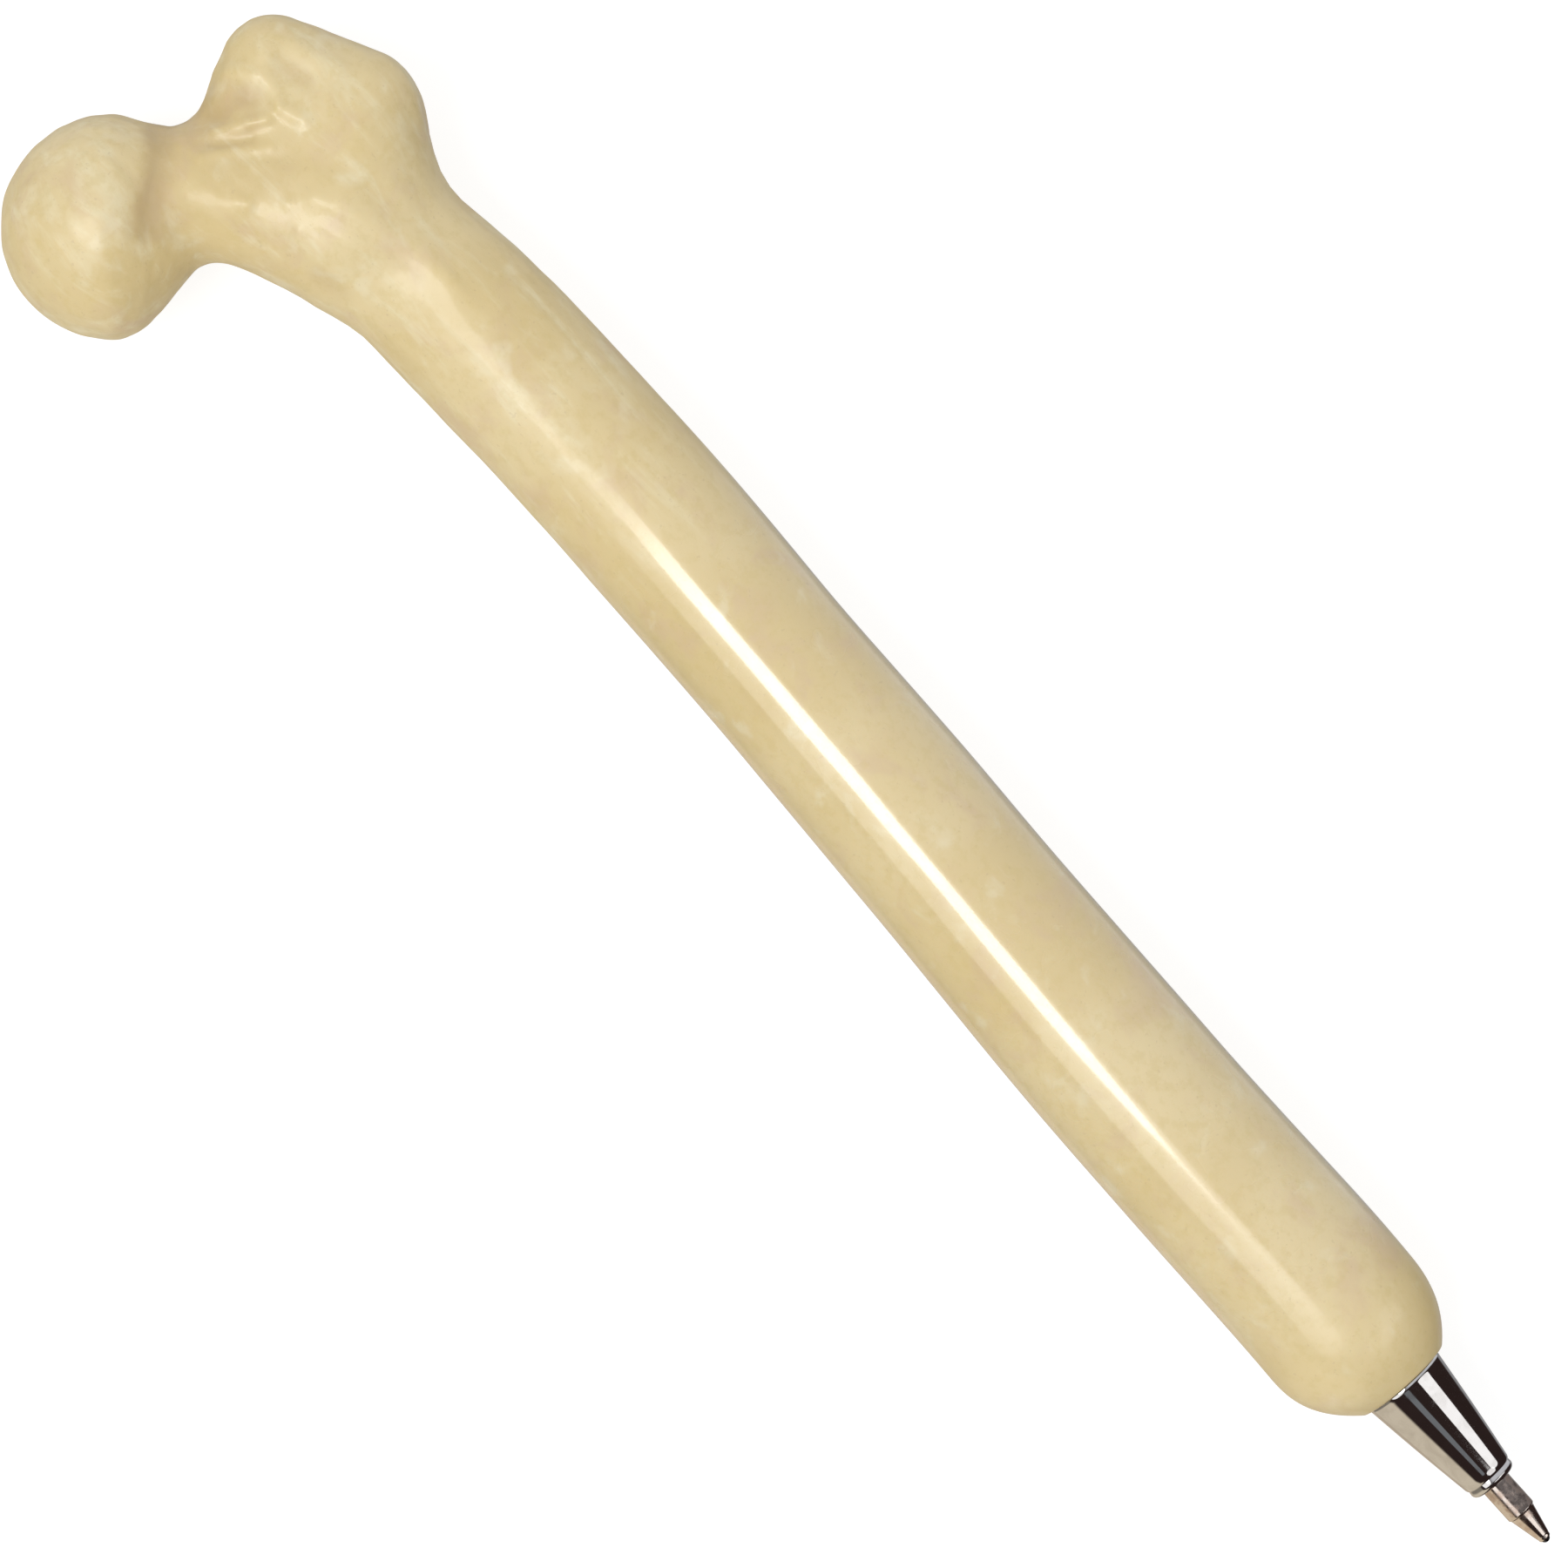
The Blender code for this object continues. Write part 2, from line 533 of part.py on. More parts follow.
def refill_tube():
    """Thin tube that holds the ink."""
    inner = TUBE_RADIUS - TUBE_WALL
    profile = [(TUBE_FRONT, inner), (TUBE_FRONT, TUBE_RADIUS), (TUBE_BACK, TUBE_RADIUS), (TUBE_BACK, inner)]
    return solid("refill_tube", turned(profile), CLEAR_PLASTIC)


def refill_ink():
    """The column of ink behind the tip."""
    radius = TUBE_RADIUS - TUBE_WALL - SEAT_GAP
    front = TUBE_FRONT - TIP_TAIL - SEAT_GAP
    back = TUBE_BACK + INK_SPACE
    return solid("refill_ink", turned([(front, 0), (front, radius), (back, radius), (back, 0)]), INK)


def refill_tip():
    """Metal tip: a tail in the tube, a collar that bears on the cone, a stepped nose and the ball's cup."""
    tail = TUBE_RADIUS - TUBE_WALL - SEAT_GAP
    cup = BALL_RADIUS + BALL_PLAY
    opening = math.degrees(math.acos(CUP_REACH / cup))
    floor = math.degrees(math.pi - math.asin(INK_CHANNEL / cup))
    lip = BALL_CENTRE + CUP_REACH
    back = TUBE_FRONT - TIP_TAIL
    profile = [(back, INK_CHANNEL), (back, tail), (COLLAR_BACK, tail), (COLLAR_BACK, TUBE_RADIUS)]
    profile += [(COLLAR_FRONT, TUBE_RADIUS), (COLLAR_FRONT, TIP_RADIUS), (TIP_SHOULDER, TIP_RADIUS)]
    profile += [(TIP_SHOULDER + TIP_STEP, TIP_RADIUS - TIP_STEP)]
    profile += [(lip, cup * math.sin(math.radians(opening)) + LIP_WALL)]
    profile += arc(BALL_CENTRE, 0.0, cup, opening, floor, 8)
    return solid("refill_tip", turned(profile), NICKEL)


def tip_ball():
    """The writing ball, with its origin at its own centre."""
    shape = bmesh.new()
    bmesh.ops.create_uvsphere(shape, u_segments=24, v_segments=14, radius=BALL_RADIUS)
    bmesh.ops.translate(shape, verts=shape.verts, vec=(BALL_CENTRE, 0, 0))
    return solid("tip_ball", shape, CARBIDE, about=BALL_CENTRE)


def lay_down(pieces):
    """Parents every piece to an empty that puts the pen on z = 0 with its outline's middle at the origin."""
    bpy.context.view_layer.update()
    graph = bpy.context.evaluated_depsgraph_get()
    corners = []
    for piece in pieces:
        read = piece.evaluated_get(graph)
        corners += [read.matrix_world @ vertex.co for vertex in read.data.vertices]
    points = np.array(corners)
    low, high = points.min(axis=0), points.max(axis=0)
    frame = bpy.data.objects.new("pen_frame", None)
    bpy.context.scene.collection.objects.link(frame)
    frame.location = (-(low[0] + high[0]) / 2, -(low[1] + high[1]) / 2, -low[2])
    for thing in list(bpy.context.scene.collection.objects):
        if thing != frame:
            thing.parent = frame
    print("pen lies", [round((b - a) / MM, 2) for a, b in zip(low, high)], "mm; bore axis at",
          [round(v / MM, 3) for v in frame.location])


for old in list(bpy.data.objects):
    bpy.data.objects.remove(old)

CAST_RESIN = material("cast_resin", (0.76, 0.63, 0.38), 0.22)
WHITE_PLASTIC = material("white_plastic", (0.80, 0.80, 0.78), 0.45)
CLEAR_PLASTIC = material("clear_plastic", (0.72, 0.76, 0.80), 0.30)
BRASS = material("brass", (0.72, 0.53, 0.25), 0.30, 1.0)
CHROME = material("chrome", (0.62, 0.61, 0.60), 0.07, 1.0)
NICKEL = material("nickel_silver", (0.66, 0.60, 0.54), 0.18, 1.0)
INK = material("ink", (0.01, 0.01, 0.02), 0.35)
CARBIDE = material("carbide", (0.12, 0.12, 0.13), 0.25, 1.0)

PIECES = [
    bone_barrel(),
    liner_tube(),
    thread_bush(),
    nose_cone(),
    refill_tube(),
    refill_ink(),
    refill_tip(),
    tip_ball(),
]
lay_down(PIECES)
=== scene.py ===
# %% [markdown]
# # A ballpoint pen shaped like a thigh bone
#
# The pen is a resin casting in the shape of a femur, with a chrome nose cone and the metal tip of an
# ordinary refill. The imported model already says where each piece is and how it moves. This notebook
# gives those pieces their fine surface: it works each one out with numpy as a grid of points, turns the
# grid into a mesh, and gives it a material made of nodes.

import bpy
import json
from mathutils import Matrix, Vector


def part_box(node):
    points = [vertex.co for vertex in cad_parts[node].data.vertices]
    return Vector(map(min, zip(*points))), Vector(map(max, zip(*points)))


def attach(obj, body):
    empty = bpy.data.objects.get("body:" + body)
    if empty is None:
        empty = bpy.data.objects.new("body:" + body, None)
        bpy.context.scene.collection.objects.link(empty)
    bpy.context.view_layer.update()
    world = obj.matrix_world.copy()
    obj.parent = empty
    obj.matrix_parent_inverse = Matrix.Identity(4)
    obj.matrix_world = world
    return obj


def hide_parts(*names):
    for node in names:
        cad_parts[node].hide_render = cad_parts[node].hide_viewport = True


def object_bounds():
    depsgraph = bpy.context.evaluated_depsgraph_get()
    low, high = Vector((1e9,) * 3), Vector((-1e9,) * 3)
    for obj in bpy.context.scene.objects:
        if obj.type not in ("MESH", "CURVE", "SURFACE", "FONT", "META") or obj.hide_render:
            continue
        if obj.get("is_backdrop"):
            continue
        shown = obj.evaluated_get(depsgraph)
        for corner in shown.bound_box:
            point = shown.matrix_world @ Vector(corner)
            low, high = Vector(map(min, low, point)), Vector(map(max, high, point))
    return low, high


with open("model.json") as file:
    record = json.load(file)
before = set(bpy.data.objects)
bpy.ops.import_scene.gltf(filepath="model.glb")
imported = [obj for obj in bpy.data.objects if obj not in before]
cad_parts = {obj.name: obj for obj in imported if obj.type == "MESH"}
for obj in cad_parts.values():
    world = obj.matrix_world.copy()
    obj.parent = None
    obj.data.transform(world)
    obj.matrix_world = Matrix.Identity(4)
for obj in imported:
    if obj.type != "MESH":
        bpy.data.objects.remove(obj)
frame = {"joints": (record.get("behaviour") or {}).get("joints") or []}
cad_box = [list(corner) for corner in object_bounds()]

import json
import math

import bpy
import numpy as np
from mathutils import Matrix

MM = 0.001
joints = {joint["name"]: joint for joint in frame["joints"]}
AXIS = np.array(joints["cone_turn"]["pos_m"])      # where the bore's axis meets the barrel's face
BALL_X = (joints["ball_roll"]["pos_m"][0] - AXIS[0]) / MM


def extent(node):
    """The node's ends along the axis and its outer radius, in millimetres from the barrel's face."""
    low, high = ((np.array(corner) - AXIS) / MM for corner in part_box(node))
    return low[0], high[0], (high[2] - low[2]) / 2


print("face of the barrel at", AXIS.round(4), "ball's middle", round(BALL_X, 2), "mm in front of it")

# %% [markdown]
# ## Grids and meshes
#
# Every surface here is a function of two parameters, so it can be laid out as a table: one row for each
# ring and one column for each step round the ring. Four neighbours in the table make one face. Blender
# could spin or skin the shapes for us, but a table of points is faster, exact, and easy to bend by a
# formula afterwards. The first and last rings are closed by a fan round a pole, or joined to each other.

# %% From a table of points to an object
def grid_faces(rows, columns, loop):
    """Corner numbers of the quads between neighbouring rings, the last ring joined to the first if loop."""
    ring = np.arange(rows if loop else rows - 1)[:, None] * columns
    step = np.arange(columns)[None]
    ahead = (step + 1) % columns
    above = (ring + columns) % (rows * columns)
    return np.stack([ring + step, ring + ahead, above + ahead, above + step], -1).reshape(-1, 4)


def piece_from_rings(name, rings, body, replaces, poles=False, sharp=35.0):
    """An object made from rings of points in millimetres, measured from the barrel's face.

    With poles, the middles of the first and last rings close the ends; otherwise the last ring is joined
    to the first. Six times the enclosed volume is the sum of a . (b x c) over the triangles: if it comes
    out negative the faces look inwards, and their order is turned round.
    """
    rows, columns = rings.shape[:2]
    points = rings.reshape(-1, 3)
    faces = grid_faces(rows, columns, loop=not poles)
    triangles = np.vstack([faces[:, [0, 1, 2]], faces[:, [0, 2, 3]]])
    fans = np.zeros((0, 3), int)
    if poles:
        points = np.vstack([points, rings[0].mean(0), rings[-1].mean(0)])
        step = np.arange(columns)
        ahead = (step + 1) % columns
        last = (rows - 1) * columns
        start = np.stack([ahead, step, np.full(columns, len(points) - 2)], -1)
        end = np.stack([last + step, last + ahead, np.full(columns, len(points) - 1)], -1)
        fans = np.vstack([start, end])
    a, b, c = (points[np.vstack([triangles, fans])[:, i]] for i in range(3))
    if np.einsum("ij,ij->i", a, np.cross(b, c)).sum() < 0:
        faces, fans = faces[:, ::-1], fans[:, ::-1]
    mesh = bpy.data.meshes.new(name)
    mesh.from_pydata((points * MM + AXIS).tolist(), [], faces.tolist() + fans.tolist())
    mesh.shade_smooth()
    mesh.set_sharp_from_angle(angle=math.radians(sharp))
    made = bpy.data.objects.new(name, mesh)
    bpy.context.scene.collection.objects.link(made)
    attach(made, body)
    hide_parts(replaces)
    print(name, len(points), "points,", len(faces) * 2 + len(fans), "triangles")
    return made


# %% [markdown]
# ## The bone as a distance field
#
# A casting like this has no sharp joints: the head, the neck, the shaft and the trochanter melt into each
# other. Metaballs or a remesh would do that, but they lose the exact size. A distance field keeps it: each
# part has a formula for how far a point lies outside it, and a smooth minimum joins two parts with a
# fillet of a chosen width.

# %% Sizes of the bone, in millimetres
SHAFT_LENGTH = 120.2
SHAFT_RADIUS = 7.2
FACE_RADIUS = 4.10
NOSE_ROUNDING = 7.0
NOSE_POWER = 2.6
SHAFT_STATIONS = np.array([0.00, 0.03, 0.07, 0.13, 0.33, 0.53, 0.78, 0.93, 1.02])
SHAFT_BOW = np.array([0.00, -0.30, -0.24, -0.18, 0.17, 0.98, 1.59, 1.11, 0.05])
SHAFT_FULLNESS = np.array([1.00, 0.998, 0.995, 0.99, 0.966, 0.927, 0.935, 0.893, 0.78])
SHAFT_END_ROUNDING = 4.0
SHAFT_TOP = np.array([-SHAFT_LENGTH, 0.0, 0.0])
HEAD_RADIUS = 8.5
HEAD_CENTRE = SHAFT_TOP + [-11.1, -14.0, HEAD_RADIUS - SHAFT_RADIUS]
NECK_LIFT = 0.9
NECK_FOOT = SHAFT_TOP + [0.0, -1.5, NECK_LIFT]
NECK_ANGLE = math.atan2(NECK_FOOT[1] - HEAD_CENTRE[1], SHAFT_TOP[0] - HEAD_CENTRE[0])
HEAD_AXIS = np.array([-math.cos(NECK_ANGLE), -math.sin(NECK_ANGLE), 0.0])
HEAD_UP = np.array([-math.sin(NECK_ANGLE), math.cos(NECK_ANGLE), 0.0])
NECK_START_BEHIND, NECK_START_ABOVE = 3.3, 3.1
NECK_START = HEAD_CENTRE - HEAD_AXIS * NECK_START_BEHIND + HEAD_UP * NECK_START_ABOVE + [0.0, 0.0, NECK_LIFT]
TROCHANTER_SIZE = np.array([15.3, 9.3, 12.6])
TROCHANTER_CENTRE = SHAFT_TOP + [-8.2, 4.3, TROCHANTER_SIZE[2] / 2 + 1.12 - SHAFT_RADIUS]
TROCHANTER_TURN = math.radians(27.3)
TROCHANTER_ROUNDING = 4.1
NECK_START_RADIUS, NECK_FOOT_RADIUS, NECK_DEPTH = 4.1, 5.3, 1.2
HEAD_CUT_SLOPE = math.radians(50)
HEAD_CUT_RADIUS = 10.6
HEAD_CUT_FILLET = 1.6
NECK_FILLET, TROCHANTER_FILLET, HEAD_FILLET, BACK_FILLET = 4.5, 7.2, 1.9, 2.2
print("the neck stands", round(math.degrees(NECK_ANGLE), 1), "degrees from the shaft")


# %% Fields and how they are joined
def smooth_curve(stations, values, at):
    """Natural cubic spline: second derivatives solve a three-banded system and are zero at both ends."""
    step = np.diff(stations)
    count = len(stations)
    system, right = np.eye(count), np.zeros(count)
    for i in range(1, count - 1):
        system[i, i - 1 : i + 2] = (step[i - 1], 2 * (step[i - 1] + step[i]), step[i])
        right[i] = 6 * ((values[i + 1] - values[i]) / step[i] - (values[i] - values[i - 1]) / step[i - 1])
    bend = np.linalg.solve(system, right)
    at = np.clip(at, stations[0], stations[-1])
    i = np.clip(np.searchsorted(stations, at) - 1, 0, count - 2)
    left = (at - stations[i]) / step[i]
    rest = 1 - left
    curved = (rest**3 - rest) * bend[i] + (left**3 - left) * bend[i + 1]
    return rest * values[i] + left * values[i + 1] + curved * step[i] ** 2 / 6


def blend(first, second, width):
    """Smooth minimum: the smaller field, less width * s * (1 - s) where s says how evenly they meet."""
    share = np.clip(0.5 + 0.5 * (second - first) / width, 0, 1)
    return second + (first - second) * share - width * share * (1 - share)


def limb(points, start, end, start_radius, end_radius, depth=1.0):
    """Distance to the nearest point of a line, less a radius that runs evenly from end to end."""
    along = end - start
    share = np.clip((points - start) @ along / (along @ along), 0, 1)
    away = (points - start - share[..., None] * along) / np.array([1.0, 1.0, depth])
    return np.linalg.norm(away, axis=-1) - start_radius - (end_radius - start_radius) * share


def block(points, centre, size, turn, rounding):
    """Distance to a box shrunk by the rounding on every side, less that rounding."""
    across = points - centre
    x = across[..., 0] * math.cos(turn) + across[..., 1] * math.sin(turn)
    y = across[..., 1] * math.cos(turn) - across[..., 0] * math.sin(turn)
    past = np.abs(np.stack([x, y, across[..., 2]], -1)) - (size / 2 - rounding)
    return np.linalg.norm(np.maximum(past, 0), axis=-1) + np.minimum(past.max(-1), 0) - rounding


def shaft_middle(x):
    """The bow of the shaft: how far its middle lies to the side at x."""
    return smooth_curve(SHAFT_STATIONS, SHAFT_BOW, -x / SHAFT_LENGTH)


def shaft(points):
    """Distance from the bowed middle line, less a radius that rounds in at the mouth by a power law."""
    x = points[..., 0]
    full = SHAFT_RADIUS * smooth_curve(SHAFT_STATIONS, SHAFT_FULLNESS, -x / SHAFT_LENGTH)
    nearness = np.clip(1 + x / NOSE_ROUNDING, 0, 1)
    radius = full - (SHAFT_RADIUS - FACE_RADIUS) * nearness**NOSE_POWER
    inset = np.hypot(points[..., 1] - shaft_middle(x), points[..., 2]) - radius + SHAFT_END_ROUNDING
    above = np.maximum(-SHAFT_LENGTH - x, 0)
    return np.hypot(np.maximum(inset, 0), above) + np.minimum(inset, 0) - SHAFT_END_ROUNDING


def head(points):
    """A ball, cut back by a cone round the neck's axis; the cut is a smooth maximum of the two fields."""
    away = points - HEAD_CENTRE
    behind = -away @ HEAD_AXIS
    aside = np.linalg.norm(away + behind[..., None] * HEAD_AXIS, axis=-1)
    cone = (aside - HEAD_CUT_RADIUS) * math.cos(HEAD_CUT_SLOPE) + behind * math.sin(HEAD_CUT_SLOPE)
    return -blend(HEAD_RADIUS - np.linalg.norm(away, axis=-1), -cone, HEAD_CUT_FILLET)


def back_relief(body, points):
    """Adds a crest and the lesser trochanter to the back of the bone, and hollows out the fossa."""
    def on_back(x, y, height):
        return np.array([x - SHAFT_LENGTH, y, height - SHAFT_RADIUS])

    crest_top, lesser = on_back(-9.7, 5.8, 2.35), on_back(6.5, -2.2, 3.05)
    body = blend(body, limb(points, crest_top, lesser, 1.7, 1.7), BACK_FILLET)
    body = blend(body, limb(points, lesser, lesser + [3.0, 1.0, 0.0], 2.7, 1.2), BACK_FILLET)
    fossa = np.linalg.norm(points - on_back(-9.5, -3.4, -1.2), axis=-1) - 3.2
    return -blend(-body, fossa, BACK_FILLET)


def bone(points):
    """The whole bone: shaft, neck, trochanter, back and head, each joined with its own fillet."""
    neck = limb(points, NECK_START, NECK_FOOT, NECK_START_RADIUS, NECK_FOOT_RADIUS, NECK_DEPTH)
    trochanter = block(points, TROCHANTER_CENTRE, TROCHANTER_SIZE, TROCHANTER_TURN, TROCHANTER_ROUNDING)
    body = blend(blend(shaft(points), neck, NECK_FILLET), trochanter, TROCHANTER_FILLET)
    return blend(back_relief(body, points), head(points), HEAD_FILLET)


# %% [markdown]
# ## Rings along the bone
#
# To skin the field, each ring starts on the middle line of the bone and looks outwards. Along the shaft the
# rings stand square to it. They then fan round the crook under the neck like the pages of a book, follow
# the neck, and tilt forward until they close at the pole of the head. From each point a ray walks out
# until it leaves the bone, and halving the last step again and again finds the skin itself.

# %% Where the rings stand
AROUND = 200
FAN_PIVOT = SHAFT_TOP + [-0.4, -15.0, 0.0]
FAN_BULGE = 2.5
STRIDE = 0.5
WAIST_BEHIND, WAIST_ABOVE = 6.4, 2.3
WAIST = HEAD_CENTRE - HEAD_AXIS * WAIST_BEHIND + HEAD_UP * WAIST_ABOVE


def ring_frames(mouth, along, fan, neck, top):
    """Centres, outward directions and tilts of the rings, with the number of rings in each stretch."""
    x = np.concatenate([
        -NOSE_ROUNDING * np.linspace(0, 1, mouth) ** 1.5,
        np.linspace(-NOSE_ROUNDING, FAN_PIVOT[0], along + 1)[1:],
    ])
    straight = np.stack([x, shaft_middle(x), 0 * x], -1)
    side = np.tile([0.0, 1.0, 0.0], (len(x), 1))

    share = np.linspace(0, 1, fan + 1)[1:, None]
    first, last = straight[-1] - FAN_PIVOT, WAIST - FAN_PIVOT
    start, end = math.atan2(first[1], first[0]), math.atan2(last[1], last[0])
    angle = start + (end - start) * share
    out = np.hstack([np.cos(angle), np.sin(angle), 0 * angle])
    reach = np.linalg.norm(first) * (1 - share) + np.linalg.norm(last[:2]) * share
    fanned = FAN_PIVOT + out * (reach + FAN_BULGE * np.sin(math.pi * share))
    fanned[:, 2] = last[2] * share[:, 0]

    share = np.linspace(0, 1, neck + 1)[1:, None]
    up = out[-1] * (1 - share) + HEAD_UP * share
    up /= np.linalg.norm(up, axis=1, keepdims=True)
    middles = WAIST * (1 - share) + HEAD_CENTRE * share
    tilt = np.radians(np.linspace(0, 90, top + 1)[1:-1])
    centres = np.vstack([straight, fanned, middles, np.tile(HEAD_CENTRE, (len(tilt), 1))])
    outs = np.vstack([side, out, up, np.tile(HEAD_UP, (len(tilt), 1))])
    return centres, outs, np.concatenate([np.zeros(len(centres) - len(tilt)), tilt])


def skin(frames):
    """Points where rays from the rings' centres leave the bone, one row to a ring.

    The rays go out by strides while they are inside. Twenty halvings then place the skin to a millionth
    of a stride.
    """
    centres, outs, tilts = frames
    around = np.linspace(0, math.tau, AROUND, endpoint=False)[None, :, None]
    square = np.cos(around) * outs[:, None] + np.sin(around) * np.array([0.0, 0.0, 1.0])
    tilts = tilts[:, None, None]
    rays = np.cos(tilts) * square + np.sin(tilts) * HEAD_AXIS
    centres = centres[:, None]
    inside = np.zeros(rays.shape[:2])
    searching = np.ones(rays.shape[:2], bool)
    while searching.any():
        searching &= bone(centres + rays * (inside + STRIDE)[..., None]) < 0
        inside = inside + STRIDE * searching
    outside = inside + STRIDE
    for _ in range(20):
        middle = (inside + outside) / 2
        deep = bone(centres + rays * middle[..., None]) < 0
        inside, outside = np.where(deep, middle, inside), np.where(deep, outside, middle)
    return centres + rays * outside[..., None]


rings = skin(ring_frames(mouth=26, along=84, fan=120, neck=56, top=56))
print("skin of", rings.shape[0], "rings by", rings.shape[1], "points; lowest", rings[..., 2].min().round(2))

# %% [markdown]
# ## Carving the relief
#
# The front of the top end is not smooth: it copies the ridges where muscles hold, a round pit, grooves
# and small pimples. Each mark is a stroke along a few points, like one pass of a modelling tool. A point of
# the skin moves along its own normal by a bell curve of its distance from the stroke. That is sculpting
# by formula: it stays editable, and gives real geometry where a bump texture would look flat from the side.
#
# Sums of sine waves add the rest. Long waves leave the whole skin a little uneven, as the mould did, and
# near the top end short ones run along the bone as fine fibres.

# %% Strokes, with places in millimetres from the top of the shaft
# Each stroke is (height, half width, points along it).
FRONT_STROKES = [
    (0.27, 0.94, [(-1.6, -1.1), (1.2, 0.1), (3.6, 0.9), (5.0, 1.4), (7.4, 2.2), (10.2, 2.2)]),
    (0.14, 2.12, [(10.2, 2.2), (14.3, 1.4), (19.5, 0.3), (26.0, -0.6)]),
    (-0.14, 1.10, [(-5.6, -0.9), (-3.6, 1.0), (-1.6, 1.9), (1.0, 2.5), (3.6, 3.1), (6.8, 4.2)]),
    (0.24, 2.60, [(-8.8, -1.6), (-5.2, 0.2), (-2.4, 1.6), (1.0, 2.6), (4.4, 3.6)]),
    (-0.14, 2.00, [(4.6, 5.4), (9.2, 5.2)]),
    (0.14, 0.50, [(-9.8, -5.4), (-8.4, -3.2), (-6.8, -1.1)]),
    (-0.15, 0.50, [(-10.1, -4.2), (-8.4, -1.8)]),
    (0.22, 0.56, [(-10.6, -3.3), (-9.2, -0.9), (-8.6, 0.2)]),
    (0.15, 0.44, [(-9.4, -1.0), (-8.7, 0.1)]),
    (0.27, 0.62, [(-8.5, 1.5), (-6.7, 2.2)]),
    (-0.32, 1.31, [(-11.1, -0.1), (-10.7, 0.1)]),
    (0.18, 0.56, [(-13.4, 0.4), (-12.6, 1.5), (-11.3, 2.1), (-10.0, 2.0), (-8.7, 1.5)]),
    (-0.20, 0.88, [(-11.6, -2.7), (-11.0, -2.2)]),
    (0.15, 0.69, [(-12.8, 3.1), (-12.3, 3.5)]),
    (-0.20, 1.00, [(-11.3, 3.9), (-9.7, 4.3), (-8.2, 4.6)]),
    (0.21, 0.75, [(-11.2, 5.6), (-9.5, 6.0), (-7.9, 6.7)]),
    (0.14, 0.62, [(-8.1, 5.1), (-6.9, 4.9)]),
    (0.17, 2.00, [(-5.6, 5.0), (-2.4, 5.8), (0.2, 5.6)]),
    (0.20, 0.62, [(1.7, -1.9), (3.1, -1.0), (4.6, -0.3)]),
    (-0.14, 0.69, [(0.9, -0.9), (2.6, -0.1)]),
    (0.20, 0.69, [(-5.3, -5.6), (-4.9, -5.3)]),
    (0.12, 0.50, [(-2.8, -3.0), (-2.5, -2.8)]),
    (0.14, 0.44, [(-0.7, -3.8), (0.7, -4.5)]),
    (0.14, 0.75, [(0.9, -4.4), (2.7, -3.4)]),
    (-0.20, 1.00, [(2.1, -5.0), (4.4, -4.5)]),
    (-0.12, 0.31, [(8.9, 3.1), (9.1, 2.9)]),
    (-0.30, 1.05, [(-14.1, -6.3), (-12.3, -7.4), (-10.7, -8.9), (-9.3, -10.8), (-8.3, -12.2)]),
]


def distance_to_stroke(x, y, route):
    """Shortest distance in the plane from points (x, y) to the line through the stroke's points."""
    nearest = np.full(x.shape, np.inf)
    for (x0, y0), (x1, y1) in zip(route, route[1:]):
        dx, dy = x1 - x0, y1 - y0
        share = np.clip(((x - x0) * dx + (y - y0) * dy) / (dx * dx + dy * dy), 0, 1)
        nearest = np.minimum(nearest, np.hypot(x - x0 - share * dx, y - y0 - share * dy))
    return nearest


def relief(points, facing):
    """Sum of height * exp(-(distance / half width)^2) over the strokes, on skin that faces the front."""
    x, y = points[..., 0] + SHAFT_LENGTH, points[..., 1]
    total = np.zeros(x.shape)
    for height, half_width, route in FRONT_STROKES:
        total += height * np.exp(-((distance_to_stroke(x, y, route) / half_width) ** 2))
    share = np.clip((facing - 0.05) / 0.5, 0, 1)
    return total * share * share * (3 - 2 * share)


def lumps(points, size, seed):
    """Soft unevenness, mostly between -1 and 1: twice the mean of twelve sine waves in random directions."""
    random = np.random.default_rng(seed)
    waves = random.normal(size=(12, 3))
    waves *= math.tau / (size * np.linalg.norm(waves, axis=1, keepdims=True))
    return np.sin(points @ waves.T + random.uniform(0, math.tau, 12)).mean(-1) * 2


def fibres(points, seed):
    """Fine ridges, as in the grain of bone: sine waves that are short across X and long along it."""
    random = np.random.default_rng(seed)
    turn = random.uniform(0, math.tau, 16)
    length = random.uniform(1.1, 2.6, 16)
    waves = np.stack([random.normal(0, 0.10, 16), np.cos(turn) / length, np.sin(turn) / length], -1)
    return np.sin(points @ (math.tau * waves).T + random.uniform(0, math.tau, 16)).mean(-1) * 2


def ring_normals(rings):
    """Outward normals of a table of rings: the cross product of the steps round and along."""
    around = np.roll(rings, -1, 1) - np.roll(rings, 1, 1)
    along = np.gradient(rings, axis=0)
    normals = np.cross(around, along)
    return normals / np.linalg.norm(normals, axis=-1, keepdims=True)


normals = ring_normals(rings)
outward = np.sign((normals * (rings - rings.mean(1, keepdims=True))).sum())
normals = normals * outward
off_mouth = np.clip(-rings[..., 0] / 4.0, 0, 1)           # fades to nothing over the last 4 mm
near_top = np.clip((38.0 - rings[..., 0] - SHAFT_LENGTH) / 24.0, 0, 1)
uneven = 0.10 * lumps(rings, 24.0, 3) + 0.012 * lumps(rings, 8.0, 4)
uneven += near_top * (0.035 * fibres(rings, 5) + 0.03 * lumps(rings, 3.2, 6))
carved = relief(rings, normals[..., 2]) + uneven
rings = rings + normals * (carved * off_mouth)[..., None]
print("relief between", carved.min().round(2), "and", carved.max().round(2), "mm")
